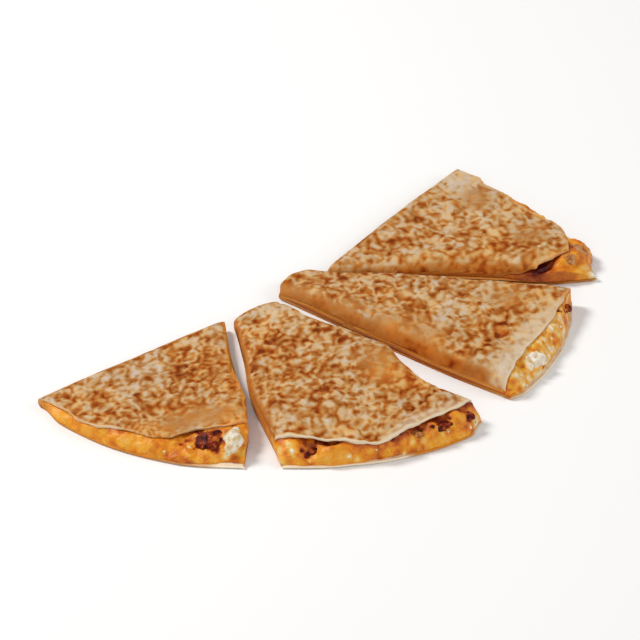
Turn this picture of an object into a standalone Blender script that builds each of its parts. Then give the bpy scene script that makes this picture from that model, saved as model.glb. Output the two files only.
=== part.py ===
"""A quesadilla: a flour tortilla folded over melted cheese and chicken, toasted, cut into wedges.

The wedges lie a little apart and fanned, and still make up the half-moon. Each wedge has a
tortilla (bottom sheet, rounded fold and top sheet in one piece), a cheese filling that runs
through it, and the pieces of filling that show where it is open.

Frame: metres, +Z up, +X along the fold, round side towards -Y. The origin is the middle of the
bounding box, on the surface that the quesadilla rests on.

The shape is worked out on the uncut half-moon: its fold is on the X axis, and an angle of 0 to
180 degrees goes round the arc from the left end of the fold to the right end. Every wedge is
then moved and turned to its own place.
"""
import math

import bmesh
import bpy
import numpy as np

# ------------------------------------------------------------------ driving dimensions, in metres
RADIUS = 0.127              # half the width of the flat tortilla
SHEET = 0.0017              # thickness of the tortilla
CLEAR = 0.0004              # gap between pieces that touch
TIP_HEIGHT = 0.0047         # over both sheets at the two ends of the fold
FOLD_HEIGHT = 0.0070        # over both sheets at the middle of the fold
BODY_HEIGHT = 0.0112        # over the filling halfway round the arc
FOLD_RISE = 0.020           # distance from the fold in which the filling reaches its full height
HEIGHT_POWER = 0.70         # how soon the height builds up along the arc from the ends of the fold
RIM_ROUND = 0.0006          # depth of the rounded rim of a sheet
LEAST_SETBACK = 0.0007      # the top sheet's rim stays at least this far behind the bottom sheet's
LEAST_OUTWARDS = 0.75       # near the tips the rows no longer run outwards
SHOULDER = 0.0065           # width of the rounded shoulder along a cut
SHOULDER_SHARE = 0.35       # of a wedge's width that a shoulder may take where the wedge is narrow
SHOULDER_BEND = 0.96        # how fully the shoulder turns down, 1 for a full quarter circle
SHOULDER_THICKENING = 0.25  # the sheet measures more straight down where the shoulder slopes
FILLING_RIM = 0.0024        # bare rim of the bottom sheet in front of the filling
FILLING_START = 0.12        # the filling begins this part of a step in front of the fold
FOOT_HEIGHT = 0.0009        # thickness of the filling at its front foot
LUMP_HEIGHT = 0.0006        # of the uneven front of the filling
LUMP_WAVES = 0.9            # waves of that unevenness, in radians for each degree of arc
BANK_FULLNESS = 2.2         # how long the filling keeps its height in front of the lip
BANK_SLOPE = 0.75           # how steeply it then comes down
LEAST_BANK = 0.001          # the part of a row that the front of the filling takes at the least
BULGE_FULLNESS = 1500.0     # added to the fullness for each metre of bulge
CHUNK_SINK = 0.0010         # how far the middle of a piece of filling lies under the cheese
CHUNK_ROOM = 0.0010         # a piece closer than this to the top sheet's rim stays under the sheet
CHUNK_WAVES = ((0.10, 4.0), (0.08, 5.0))   # unevenness of a piece: share of its size, waves
CHUNK_UNEVEN = 1.18         # the largest swelling of a piece over its half sizes
TINY = 1e-6                 # keeps divisions and angles defined

# Each wedge:
#   fold, arc    its stretch of the fold (metres) and of the arc (degrees)
#   fold_out     how far the fold bulges out, as (place across the wedge, distance)
#   rim          how far the bottom sheet's rim lies beyond the radius, as (angle, distance)
#   lip          how far the top sheet's rim stays short of the radius, as (angle, distance)
#   left, right  depth of the shoulder along that cut, at the fold and at the arc
#   filled       the rows between which there is room for filling
#   move, turn   how far it is moved (metres) and turned (degrees) about a pivot on the fold
WEDGES = {
    "a": dict(
        fold=(-RADIUS, -0.0255), arc=(2.7, 48.0), fold_out=((0, 0.0), (0.4, 0.0012), (1, 0.0036)),
        rim=((0, -0.0012), (9, 0.0026), (22, 0.0032), (34, 0.0027), (48, -0.0004)),
        lip=((0, 0.0018), (7, 0.0018), (13, -0.0012), (17, -0.0012), (20, 0.0014), (24, 0.0030),
             (28, 0.0020), (31, 0.0040), (37, 0.0142), (42, 0.0166), (48, 0.0222)),
        left=(0.0, 0.0), right=(0.0010, 0.0010), filled=(0.07, 1.0),
        move=(-0.0071, 0.0006), turn=-9.8, pivot=-0.025),
    "b": dict(
        fold=(-0.0246, -0.0008), arc=(47.6, 91.0), fold_out=((0, 0.0054), (0.5, 0.0060), (1, 0.0045)),
        rim=((47, 0.0006), (60, 0.0020), (69, 0.0033), (79, 0.0036), (86, 0.0030), (91, -0.0016)),
        lip=((46, 0.0120), (48, 0.0104), (53, 0.0084), (57, 0.0044), (60, 0.0036), (63, 0.0010),
             (67, -0.0014), (70, 0.0004), (74, 0.0034), (80, 0.0052), (85, 0.0054), (91, 0.0074)),
        left=(0.0010, 0.0008), right=(0.0022, 0.0014), filled=(0.0, 1.0),
        move=(-0.0039, -0.0037), turn=-3.4, pivot=-0.010),
    "c": dict(
        fold=(-0.0004, 0.0216), arc=(91.7, 130.3),
        fold_out=((0, 0.0040), (0.25, 0.0074), (0.5, 0.0085), (0.75, 0.0068), (1, 0.0014)),
        rim=((91, -0.0004), (95, 0.0018), (100, 0.0012), (111, 0.0002), (121, -0.0010), (131, -0.0024)),
        lip=((89, 0.0020), (93, 0.0033), (99, 0.0074), (105, 0.0090), (112, 0.0080), (121, 0.0066),
             (131, 0.0044)),
        left=(0.0020, 0.0048), right=(0.0012, 0.0020), filled=(0.0, 1.0),
        move=(0.0037, 0.0023), turn=2.8, pivot=0.010),
    "d": dict(
        fold=(0.0222, RADIUS), arc=(130.9, 177.3), fold_out=((0, 0.0028), (0.35, 0.0026), (1, 0.0008)),
        rim=((131, 0.0026), (135, 0.0024), (138, 0.0028), (143, 0.0010), (180, -0.0010)),
        lip=((128.5, 0.0320), (131.3, 0.0228), (134, 0.0148), (135.8, 0.0066), (140, 0.0052),
             (146, 0.0034), (149, 0.0044), (152, 0.0076), (160, 0.0076), (171, 0.0054),
             (174, 0.0022), (180, 0.0010)),
        left=(0.0020, 0.0008), right=(0.0, 0.0), filled=(0.0, 0.93),
        move=(0.0074, 0.0007), turn=12.3, pivot=0.025),
}

# Swells and dents of the top sheet: (angle, distance from the centre, height, reach).
SWELLS = ((28, 0.102, -0.0022, 0.014), (45, 0.100, 0.0018, 0.015), (60, 0.090, 0.0010, 0.022),
          (66, 0.124, -0.0016, 0.009), (88, 0.060, 0.0014, 0.012), (84, 0.108, 0.0006, 0.020),
          (112, 0.085, 0.0008, 0.024), (101, 0.060, -0.0008, 0.014), (140, 0.112, 0.0012, 0.016),
          (150, 0.070, 0.0009, 0.025), (125, 0.112, 0.0008, 0.012))

# Hollows in the filling under the top sheet's lip: (angle, distance from the centre, depth, reach).
HOLLOWS = ((53.0, 0.1220, 0.0032, 0.0050), (57.5, 0.1205, 0.0020, 0.0040),
           (132.0, 0.1060, 0.0030, 0.0080), (36.0, 0.1180, 0.0014, 0.0060),
           (98.7, 0.1210, 0.0016, 0.0030), (75.5, 0.1240, 0.0020, 0.0036),
           (81.0, 0.1230, 0.0018, 0.0045), (87.2, 0.1230, 0.0012, 0.0030),
           (91.0, 0.1250, 0.0022, 0.0035), (124.0, 0.1225, 0.0008, 0.0030))

# Where the filling bulges out over the rim of the bottom sheet: (angle, distance, reach in degrees).
BULGES = ((60.0, 0.0010, 5.0), (139.2, 0.0026, 3.2))

# Where the sides of a cut bulge: wedge and side, (place along the cut, amount, reach).
BOWS = {
    ("a", "right"): ((0.62, 0.0034, 0.22), (0.84, 0.0016, 0.07)),
    ("b", "left"): ((0.55, 0.0036, 0.26),),
    ("b", "right"): ((0.19, -0.0030, 0.09), (0.36, 0.0022, 0.08), (0.50, 0.0034, 0.07),
                     (0.78, -0.0044, 0.13)),
    ("c", "left"): ((0.45, 0.0016, 0.35), (0.76, 0.0012, 0.18)),
    ("d", "left"): ((0.80, 0.0045, 0.16),),
}

# Pieces of filling that show: wedge, angle, distance in from the radius, half sizes (along the
# arc, towards the rim, up), turn and tilt in degrees.
CHUNKS = {
    "chicken_a_dark": ("a", 40.2, 0.0096, (0.0054, 0.0042, 0.0029), 12, -18),
    "chicken_a_pale": ("a", 45.0, 0.0104, (0.0036, 0.0052, 0.0028), -8, -22),
    "chicken_b_deep": ("b", 53.8, 0.0058, (0.0032, 0.0026, 0.0019), 10, 0),
    "chicken_b_middle": ("b", 75.5, 0.0016, (0.0026, 0.0022, 0.0021), -14, -12),
    "chicken_b_right": ("b", 81.0, 0.0024, (0.0048, 0.0026, 0.0022), 12, -10),
    "chicken_b_corner": ("b", 87.2, 0.0032, (0.0024, 0.0026, 0.0022), 0, 0),
    "cream_c": ("c", 103.8, 0.0042, (0.0044, 0.0036, 0.0022), 6, -30),
    "chicken_c": ("c", 123.8, 0.0050, (0.0028, 0.0018, 0.0017), -20, -10),
    "chicken_d_front": ("d", 137.6, 0.0022, (0.0044, 0.0030, 0.0023), 15, -10),
    "chicken_d_side": ("d", 133.6, 0.0092, (0.0030, 0.0028, 0.0021), 30, 0),
}

# Searches for a place on a wedge.
NEAR_ARC = 0.9              # where along a row they start
SEARCH_ROUNDS = 12
SEARCH_STEP = 1e-4

# Mesh density.
BOTTOM_STEPS = 4
FOLD_STEPS = 4
TOP_STEPS = 9
BANK_STEPS = 4
ROWS_ACROSS = 15


# ------------------------------------------------------------------------------ shape of the food
def smooth(value):
    """Ease from 0 to 1."""
    value = np.clip(value, 0.0, 1.0)
    return value * value * (3.0 - 2.0 * value)


def along_stations(stations, where):
    """A smooth value between stations of (place, value)."""
    where = np.asarray(where, dtype=float)
    result = np.full(where.shape, float(stations[0][1]))
    for (start, low), (end, high) in zip(stations[:-1], stations[1:]):
        between = low + (high - low) * smooth((where - start) / (end - start))
        result = np.where(where >= start, between, result)
    return result


def arc_point(angle, radius=RADIUS):
    """The point of the uncut half-moon at an angle and a distance from its centre."""
    angle = np.radians(angle)
    return -radius * np.cos(angle), -radius * np.sin(angle)


def arc_angle(x, y):
    return np.degrees(np.arctan2(-y, -x))


def spots(x, y, entries):
    """Sum of round soft spots, each given as (angle, distance from the centre, height, reach)."""
    total = np.zeros(np.shape(x))
    for angle, radius, height, reach in entries:
        spot_x, spot_y = arc_point(angle, radius)
        total = total + height * np.exp(-((x - spot_x) ** 2 + (y - spot_y) ** 2) / reach ** 2)
    return total


class Wedge:
    """The outline and the heights of one wedge; s runs from the fold to the arc, t across."""

    def __init__(self, name):
        self.name = name
        for key, value in WEDGES[name].items():
            setattr(self, key, value)

    def angle(self, t):
        """The angle on the arc at which row t ends."""
        return self.arc[0] + (self.arc[1] - self.arc[0]) * t

    def ends(self, t):
        """The points on the fold and on the bottom sheet's rim that row t joins."""
        fold_x = self.fold[0] + (self.fold[1] - self.fold[0]) * t
        fold_y = along_stations(self.fold_out, t)
        angle = self.angle(t)
        arc_x, arc_y = arc_point(angle, RADIUS + along_stations(self.rim, angle))
        return fold_x, fold_y, arc_x, arc_y

    def length(self, t):
        fold_x, fold_y, arc_x, arc_y = self.ends(t)
        return np.hypot(arc_x - fold_x, arc_y - fold_y)

    def plan(self, s, t):
        """The point of the uncut half-moon at (s, t), with the bulges of the cuts."""
        fold_x, fold_y, arc_x, arc_y = self.ends(t)
        x = fold_x + (arc_x - fold_x) * s
        y = fold_y + (arc_y - fold_y) * s
        for side, edge, outward in (("left", 0.0, -1.0), ("right", 1.0, 1.0)):
            from_x, from_y, to_x, to_y = self.ends(edge)
            edge_length = self.length(edge)
            across_x = -(to_y - from_y) / edge_length * outward
            across_y = (to_x - from_x) / edge_length * outward
            nearness = (1.0 - abs(t - edge)) ** 3
            for middle, amount, reach in BOWS.get((self.name, side), ()):
                bulge = amount * np.exp(-((s - middle) / reach) ** 2) * nearness
                x = x + across_x * bulge
                y = y + across_y * bulge
        return x, y

    def shoulder(self, s, t):
        """How far along a rounded shoulder a point is, 1 at the cut, and how deep it drops."""
        left_x, left_y = self.plan(s, 0.0)
        right_x, right_y = self.plan(s, 1.0)
        width = np.hypot(right_x - left_x, right_y - left_y)
        reach = np.minimum(SHOULDER, SHOULDER_SHARE * width) + TINY
        edge = np.zeros(np.shape(s + t))
        drop = np.zeros(np.shape(s + t))
        for distance, depth in ((t * width, self.left), ((1.0 - t) * width, self.right)):
            if max(depth) == 0.0:
                continue
            close = np.clip(1.0 - distance / reach, 0.0, 1.0)
            deep = depth[0] + (depth[1] - depth[0]) * smooth(s)
            bend = 1.0 - np.sqrt(1.0 - SHOULDER_BEND * close ** 2)
            drop = drop + deep * bend / (1.0 - math.sqrt(1.0 - SHOULDER_BEND))
            edge = np.maximum(edge, close)
        return edge, drop

    def top(self, s, t):
        """Height of the top sheet's upper face."""
        x, y = self.plan(s, t)
        angle = np.clip(arc_angle(x, np.minimum(y, -TINY)), 0.0, 180.0)
        fold_height = FOLD_HEIGHT + (TIP_HEIGHT - FOLD_HEIGHT) * np.minimum(np.abs(x) / RADIUS, 1.0) ** 3
        arc_height = TIP_HEIGHT + (BODY_HEIGHT - TIP_HEIGHT) * np.sin(np.radians(angle)) ** HEIGHT_POWER
        depth = np.maximum(along_stations(self.fold_out, t) - y, 0.0)
        rise = 1.0 - np.exp(-(depth / FOLD_RISE) ** 1.3)
        height = fold_height + (arc_height - fold_height) * rise + spots(x, y, SWELLS) * rise
        return height - self.shoulder(s, t)[1]

    def sheet_depth(self, s, t):
        """Thickness of the top sheet, measured straight down."""
        edge, _ = self.shoulder(s, t)
        return SHEET * (1.0 + SHOULDER_THICKENING * edge)

    def fold_round(self, t):
        """Half the height of the fold, which is also how deep its round end is."""
        return self.top(0.0, t) / 2.0

    def lip_place(self, t):
        """The value of s at which row t crosses the rim of the top sheet."""
        length = self.length(t)
        fold_x, fold_y, arc_x, arc_y = self.ends(t)
        rim = along_stations(self.rim, self.angle(t))
        outwards = ((arc_x - fold_x) * arc_x + (arc_y - fold_y) * arc_y) / (length * np.hypot(arc_x, arc_y))
        s = NEAR_ARC * np.ones(np.shape(t))
        for _ in range(SEARCH_ROUNDS):
            lip = along_stations(self.lip, arc_angle(*self.plan(s, t)))
            s = 1.0 - np.maximum(rim + lip, LEAST_SETBACK) / (length * np.maximum(outwards, LEAST_OUTWARDS))
        return s

    def locate(self, x, y):
        """The (s, t) of a point, found by Newton's method."""
        t = np.clip((arc_angle(x, y) - self.arc[0]) / (self.arc[1] - self.arc[0]), 0.0, 1.0)
        place = np.array((NEAR_ARC, float(t)))
        for _ in range(SEARCH_ROUNDS):
            here = np.array(self.plan(*place))
            along = (np.array(self.plan(place[0] + SEARCH_STEP, place[1])) - here) / SEARCH_STEP
            across = (np.array(self.plan(place[0], place[1] + SEARCH_STEP)) - here) / SEARCH_STEP
            place = place + np.linalg.solve(np.column_stack((along, across)), np.array((x, y)) - here)
        return place

    def top_places(self, t, steps):
        """Values of s from the top of the fold to the rim of the top sheet."""
        length = self.length(t)
        start = self.fold_round(t) / length
        return start + (self.lip_place(t) - start) * np.linspace(0.0, 1.0, steps + 1)

    def placed(self, x, y):
        """A point of the uncut half-moon moved to where this wedge lies."""
        turn = math.radians(self.turn)
        shift_x = x - self.pivot
        new_x = self.pivot + shift_x * math.cos(turn) - y * math.sin(turn) + self.move[0]
        new_y = shift_x * math.sin(turn) + y * math.cos(turn) + self.move[1]
        return new_x, new_y


def layout_centre():
    """Middle of the bounding box of all the bottom sheets as they lie."""
    every_x, every_y = [], []
    for name in WEDGES:
        wedge = Wedge(name)
        for t in row_places(ROWS_ACROSS):
            for s in (0.0, 1.0):
                x, y = wedge.placed(*wedge.plan(s, t))
                every_x.append(x)
                every_y.append(y)
    return (min(every_x) + max(every_x)) / 2.0, (min(every_y) + max(every_y)) / 2.0


def row_places(rows):
    """Values of t from cut to cut, closer together near the cuts."""
    even = np.linspace(-1.0, 1.0, rows)
    return 0.5 + 0.5 * (0.45 * even + 0.55 * np.sin(even * math.pi / 2.0))


# --------------------------------------------------------------------------------------- sections
def tortilla_section(wedge, t):
    """One row of the tortilla: a closed loop of points, as (s, height), round both faces."""
    length = wedge.length(t)
    fold = wedge.fold_round(t)
    rim = RIM_ROUND / length
    flat = np.linspace(1.0 - rim, fold / length, BOTTOM_STEPS + 1)
    turn = np.linspace(-0.5 * math.pi, 0.5 * math.pi, FOLD_STEPS + 1)[1:-1]
    top = wedge.top_places(t, TOP_STEPS)
    top[-1] -= rim
    outer = [(s, 0.0) for s in flat]
    outer += [((fold - fold * math.cos(a)) / length, fold + fold * math.sin(a)) for a in turn]
    outer += [(s, float(wedge.top(s, t))) for s in top]
    inside = fold - SHEET
    inner = [(s, SHEET) for s in flat]
    inner += [((fold - inside * math.cos(a)) / length, fold + inside * math.sin(a)) for a in turn]
    inner += [(s, float(wedge.top(s, t) - wedge.sheet_depth(s, t))) for s in top]
    lip = (top[-1] + rim, float(wedge.top(top[-1], t) - wedge.sheet_depth(top[-1], t) / 2.0))
    return outer + [lip] + inner[::-1] + [(1.0, SHEET / 2.0)]


def bulge_at(angle):
    """How far the filling bulges out over the rim of the bottom sheet."""
    return sum(distance * np.exp(-((angle - middle) / reach) ** 2) for middle, distance, reach in BULGES)


def filling_top(wedge, s, t):
    """Height of the filling's upper face at (s, t), under the sheet and out on the front bank."""
    edge = wedge.lip_place(t)
    bulge = bulge_at(wedge.angle(t))
    front = 1.0 - (FILLING_RIM - bulge) / wedge.length(t)
    ceiling = wedge.top(np.minimum(s, edge), t) - wedge.sheet_depth(np.minimum(s, edge), t) - CLEAR
    floor = SHEET + CLEAR
    x, y = wedge.plan(s, t)
    out = np.clip((s - edge) / np.maximum(front - edge, LEAST_BANK), 0.0, 1.0)
    bank = (1.0 - out ** (BANK_FULLNESS + BULGE_FULLNESS * bulge)) ** BANK_SLOPE
    lumps = LUMP_HEIGHT * np.sin(LUMP_WAVES * arc_angle(x, np.minimum(y, -TINY))) * 4.0 * out * (1.0 - out)
    height = floor + FOOT_HEIGHT + (ceiling - floor - FOOT_HEIGHT) * bank + lumps
    height = height - spots(x, y, HOLLOWS)
    return np.minimum(np.maximum(height, floor + FOOT_HEIGHT), ceiling)


def filling_section(wedge, t):
    """One row of the filling: a closed loop of points, as (s, height)."""
    length = wedge.length(t)
    under = wedge.top_places(t, TOP_STEPS)
    under[-1] -= RIM_ROUND / length
    front = 1.0 - (FILLING_RIM - bulge_at(wedge.angle(t))) / length
    bank = np.linspace(under[-1], max(front, under[-1] + LEAST_BANK), BANK_STEPS + 1)[1:]
    places = np.concatenate([under, bank])
    heights = [float(filling_top(wedge, s, t)) for s in places]
    places[0] += (places[1] - places[0]) * FILLING_START
    heights[0] += (heights[1] - heights[0]) * FILLING_START
    upper = list(zip(places, heights))
    lower = [(s, SHEET + CLEAR) for s in places]
    return upper + lower[::-1]


# ----------------------------------------------------------------------------------------- meshes
def material(name, colour, roughness):
    made = bpy.data.materials.new(name)
    made.use_nodes = True
    shader = made.node_tree.nodes["Principled BSDF"]
    shader.inputs["Base Color"].default_value = (*colour, 1.0)
    shader.inputs["Roughness"].default_value = roughness
    shader.inputs["Metallic"].default_value = 0.0
    return made


def add_object(name, mesh_builder, finish):
    """Close the mesh, point its faces outwards and put it into the scene."""
    mesh_builder.normal_update()
    bmesh.ops.recalc_face_normals(mesh_builder, faces=mesh_builder.faces)
    mesh = bpy.data.meshes.new(name)
    mesh_builder.to_mesh(mesh)
    mesh_builder.free()
    mesh.materials.append(finish)
    made = bpy.data.objects.new(name, mesh)
    bpy.context.scene.collection.objects.link(made)
    return made


def loft(wedge, section, rows, centre):
    """Join the closed sections of neighbouring rows; the two ends are still open."""
    builder = bmesh.new()
    rings = []
    for t in rows:
        ring = []
        for s, height in section(wedge, t):
            x, y = wedge.placed(*wedge.plan(s, t))
            ring.append(builder.verts.new((x - centre[0], y - centre[1], height)))
        rings.append(ring)
    count = len(rings[0])
    for ring, following in zip(rings[:-1], rings[1:]):
        for i in range(count):
            j = (i + 1) % count
            builder.faces.new((ring[i], ring[j], following[j], following[i]))
    return builder, rings


def close_ends(builder, rings, pairs):
    """Close both ends with faces between each point of one face and its partner on the other."""
    for ring in (rings[0], rings[-1]):
        for (a, b), (c, d) in zip(pairs[:-1], pairs[1:]):
            corners = [ring[a], ring[c], ring[d], ring[b]]
            distinct = [corner for i, corner in enumerate(corners) if corner not in corners[:i]]
            builder.faces.new(distinct)


def make_tortilla(wedge, finish, centre):
    builder, rings = loft(wedge, tortilla_section, row_places(ROWS_ACROSS), centre)
    count = len(rings[0])
    side = (count - 2) // 2
    pairs = [(count - 1, count - 1)]
    pairs += [(i, count - 2 - i) for i in range(side)]
    pairs += [(side, side)]
    close_ends(builder, rings, pairs)
    return add_object("tortilla_" + wedge.name, builder, finish)


def make_cheese(wedge, finish, centre):
    rows = [wedge.filled[0] + (wedge.filled[1] - wedge.filled[0]) * t for t in row_places(ROWS_ACROSS)]
    builder, rings = loft(wedge, filling_section, rows, centre)
    count = len(rings[0])
    pairs = [(i, count - 1 - i) for i in range(count // 2)]
    close_ends(builder, rings, pairs)
    return add_object("cheese_" + wedge.name, builder, finish)


def chunk_mesh(name, grow, centre):
    """An uneven lump, larger by grow on every side when it serves to cut its pocket."""
    wedge_name, angle, inward, half, turn, tilt = CHUNKS[name]
    wedge = Wedge(wedge_name)
    s, t = wedge.locate(*arc_point(angle, RADIUS - inward))
    x, y = wedge.placed(*arc_point(angle, RADIUS - inward))
    height = float(filling_top(wedge, s, t)) - CHUNK_SINK
    lip = wedge.lip_place(t)
    if (s - lip) * wedge.length(t) < half[1] + CHUNK_ROOM:
        under_lip = float(wedge.top(lip, t) - wedge.sheet_depth(lip, t))
        height = min(height, under_lip - half[2] * CHUNK_UNEVEN - 2.0 * CLEAR)
    facing = math.radians(angle + 180.0 + wedge.turn + turn)
    lean = math.radians(tilt)
    out = np.array((math.cos(facing), math.sin(facing), 0.0))
    along = np.array((out[1], -out[0], 0.0))
    rim = out * math.cos(lean) + np.array((0.0, 0.0, math.sin(lean)))
    up = np.cross(along, rim)
    builder = bmesh.new()
    bmesh.ops.create_icosphere(builder, subdivisions=2, radius=1.0)
    for vert in builder.verts:
        p = np.array(vert.co)
        uneven = 1.0 + sum(share * math.sin(waves * p[i] + angle * (i + 1))
                           for i, (share, waves) in enumerate(CHUNK_WAVES))
        size = [uneven * h + grow for h in half]
        place = along * p[0] * size[0] + rim * p[1] * size[1] + up * p[2] * size[2]
        vert.co = (x - centre[0] + place[0], y - centre[1] + place[1], height + place[2])
    return builder


def make_chunk(name, cheese, finish, centre):
    """Add one piece of filling and cut its pocket, a little larger, into the cheese."""
    add_object(name, chunk_mesh(name, 0.0, centre), finish)
    pocket = add_object(name + "_pocket", chunk_mesh(name, CLEAR, centre), finish)
    pocket.hide_render = True
    pocket.display_type = "WIRE"
    cut = cheese.modifiers.new(name + "_pocket", "BOOLEAN")
    cut.operation = "DIFFERENCE"
    cut.solver = "EXACT"
    cut.object = pocket


def build():
    for old in list(bpy.data.objects):
        bpy.data.objects.remove(old, do_unlink=True)
    toasted = material("toasted_tortilla", (0.60, 0.36, 0.16), 0.75)
    melted = material("melted_cheese", (0.80, 0.36, 0.06), 0.35)
    grilled = material("grilled_chicken", (0.24, 0.08, 0.03), 0.6)
    pale = material("pale_chicken", (0.72, 0.62, 0.46), 0.5)
    cream = material("cream", (0.85, 0.80, 0.70), 0.3)
    centre = layout_centre()
    cheeses = {}
    for name in WEDGES:
        wedge = Wedge(name)
        make_tortilla(wedge, toasted, centre)
        cheeses[name] = make_cheese(wedge, melted, centre)
    for name, entry in CHUNKS.items():
        finish = cream if name.startswith("cream") else pale if name.endswith("pale") else grilled
        make_chunk(name, cheeses[entry[0]], finish, centre)


build()
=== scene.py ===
"""The looks of the quesadilla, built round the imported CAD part.

The wedges' shape comes from the same named values and functions as the CAD model, with a finer mesh,
thinner lips, deeper rolled cuts, relief and browning. Metres, +Z up, in the CAD model's frame.
"""
import math

import bmesh
import bpy
import numpy as np
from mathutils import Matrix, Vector


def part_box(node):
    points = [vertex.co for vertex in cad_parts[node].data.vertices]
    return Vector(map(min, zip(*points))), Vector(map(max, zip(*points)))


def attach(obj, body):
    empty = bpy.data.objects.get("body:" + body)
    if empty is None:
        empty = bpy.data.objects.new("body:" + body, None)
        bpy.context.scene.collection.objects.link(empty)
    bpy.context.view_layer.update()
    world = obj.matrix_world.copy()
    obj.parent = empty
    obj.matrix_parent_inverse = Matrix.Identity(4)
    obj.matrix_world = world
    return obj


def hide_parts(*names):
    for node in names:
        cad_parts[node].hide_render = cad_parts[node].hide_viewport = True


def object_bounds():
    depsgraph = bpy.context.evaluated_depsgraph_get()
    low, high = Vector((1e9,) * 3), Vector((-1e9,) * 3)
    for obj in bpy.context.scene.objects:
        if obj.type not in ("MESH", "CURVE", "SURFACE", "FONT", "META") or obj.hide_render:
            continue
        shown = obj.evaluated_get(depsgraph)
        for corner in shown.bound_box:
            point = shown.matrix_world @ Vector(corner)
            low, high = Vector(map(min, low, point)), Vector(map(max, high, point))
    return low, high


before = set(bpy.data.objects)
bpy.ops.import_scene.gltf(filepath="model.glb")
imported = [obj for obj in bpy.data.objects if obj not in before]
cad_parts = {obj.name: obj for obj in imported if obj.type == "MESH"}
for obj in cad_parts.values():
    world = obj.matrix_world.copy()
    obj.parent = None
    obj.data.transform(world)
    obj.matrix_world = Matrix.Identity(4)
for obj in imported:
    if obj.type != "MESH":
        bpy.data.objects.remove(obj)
cad_low, cad_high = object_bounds()

# ------------------------------------------------------------------ the CAD model's named values
RADIUS = 0.127
SHEET = 0.0017
TIP_HEIGHT = 0.0047
FOLD_HEIGHT = 0.0070
BODY_HEIGHT = 0.0112
FOLD_RISE = 0.020
HEIGHT_POWER = 0.70
LEAST_SETBACK = 0.0007
LEAST_OUTWARDS = 0.75
SHOULDER = 0.0065
SHOULDER_SHARE = 0.35
SHOULDER_BEND = 0.96
FOOT_HEIGHT = 0.0009
LUMP_HEIGHT = 0.0006
LUMP_WAVES = 0.9
BANK_FULLNESS = 2.2
BANK_SLOPE = 0.75
LEAST_BANK = 0.001
BULGE_FULLNESS = 1500.0
CHUNK_WAVES = ((0.10, 4.0), (0.08, 5.0))
TINY = 1e-6
NEAR_ARC = 0.9
SEARCH_ROUNDS = 12
CAD_ROWS = 15

WEDGES = {
    "a": dict(
        fold=(-RADIUS, -0.0255), arc=(2.7, 48.0), fold_out=((0, 0.0), (0.4, 0.0012), (1, 0.0036)),
        rim=((0, -0.0012), (9, 0.0026), (22, 0.0032), (34, 0.0027), (48, -0.0004)),
        lip=((0, 0.0018), (7, 0.0018), (13, -0.0012), (17, -0.0012), (20, 0.0014), (24, 0.0030),
             (28, 0.0020), (31, 0.0040), (37, 0.0142), (42, 0.0166), (48, 0.0222)),
        left=(), right=((0, 0.0016), (1, 0.0016)), filled=(0.0, 1.0),
        move=(-0.0071, 0.0006), turn=-9.8, pivot=-0.025),
    "b": dict(
        fold=(-0.0246, -0.0008), arc=(47.6, 91.0), fold_out=((0, 0.0054), (0.5, 0.0060), (1, 0.0045)),
        rim=((47, 0.0006), (60, 0.0020), (69, 0.0033), (79, 0.0036), (86, 0.0030), (91, -0.0016)),
        lip=((46, 0.0120), (48, 0.0104), (53, 0.0084), (57, 0.0044), (60, 0.0036), (63, 0.0010),
             (67, -0.0014), (70, 0.0004), (74, 0.0034), (80, 0.0052), (85, 0.0054), (91, 0.0074)),
        left=((0, 0.0026), (1, 0.0034)), right=((0, 0.0022), (1, 0.0016)), filled=(0.0, 1.0),
        move=(-0.0039, -0.0037), turn=-3.4, pivot=-0.010),
    "c": dict(
        fold=(-0.0004, 0.0216), arc=(91.7, 130.3),
        fold_out=((0, 0.0040), (0.25, 0.0074), (0.5, 0.0085), (0.75, 0.0068), (1, 0.0014)),
        rim=((91, -0.0004), (95, 0.0018), (100, 0.0012), (111, 0.0002), (121, -0.0010), (131, -0.0024)),
        lip=((89, 0.0020), (93, 0.0033), (99, 0.0074), (105, 0.0090), (112, 0.0080), (121, 0.0066),
             (126, 0.0046), (131, 0.0012)),
        left=((0, 0.0034), (0.3, 0.0058), (0.6, 0.0070), (1, 0.0070)), right=((0, 0.0014), (1, 0.0022)),
        filled=(0.0, 1.0),
        move=(0.0037, 0.0023), turn=2.8, pivot=0.010),
    "d": dict(
        fold=(0.0222, RADIUS), arc=(130.9, 177.3), fold_out=((0, 0.0028), (0.35, 0.0026), (1, 0.0008)),
        rim=((131, 0.0026), (135, 0.0024), (138, 0.0028), (143, 0.0010), (180, -0.0010)),
        lip=((128.5, 0.0320), (131.3, 0.0228), (134, 0.0148), (135.8, 0.0066), (140, 0.0052),
             (146, 0.0034), (149, 0.0044), (152, 0.0076), (160, 0.0076), (171, 0.0054),
             (174, 0.0022), (180, 0.0010)),
        left=((0, 0.0030), (0.30, 0.0056), (0.61, 0.0066), (0.70, 0.0040), (0.77, 0.0016), (0.86, 0.0004)),
        right=(), filled=(0.0, 1.0),
        move=(0.0074, 0.0007), turn=12.3, pivot=0.025),
}

SWELLS = ((28, 0.102, -0.0022, 0.014), (45, 0.100, 0.0018, 0.015), (60, 0.090, 0.0010, 0.022),
          (66, 0.124, -0.0016, 0.009), (88, 0.060, 0.0014, 0.012), (84, 0.108, 0.0006, 0.020),
          (112, 0.085, 0.0008, 0.024), (101, 0.060, -0.0008, 0.014), (140, 0.112, 0.0012, 0.016),
          (150, 0.070, 0.0009, 0.025), (125, 0.112, 0.0008, 0.012))

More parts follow.
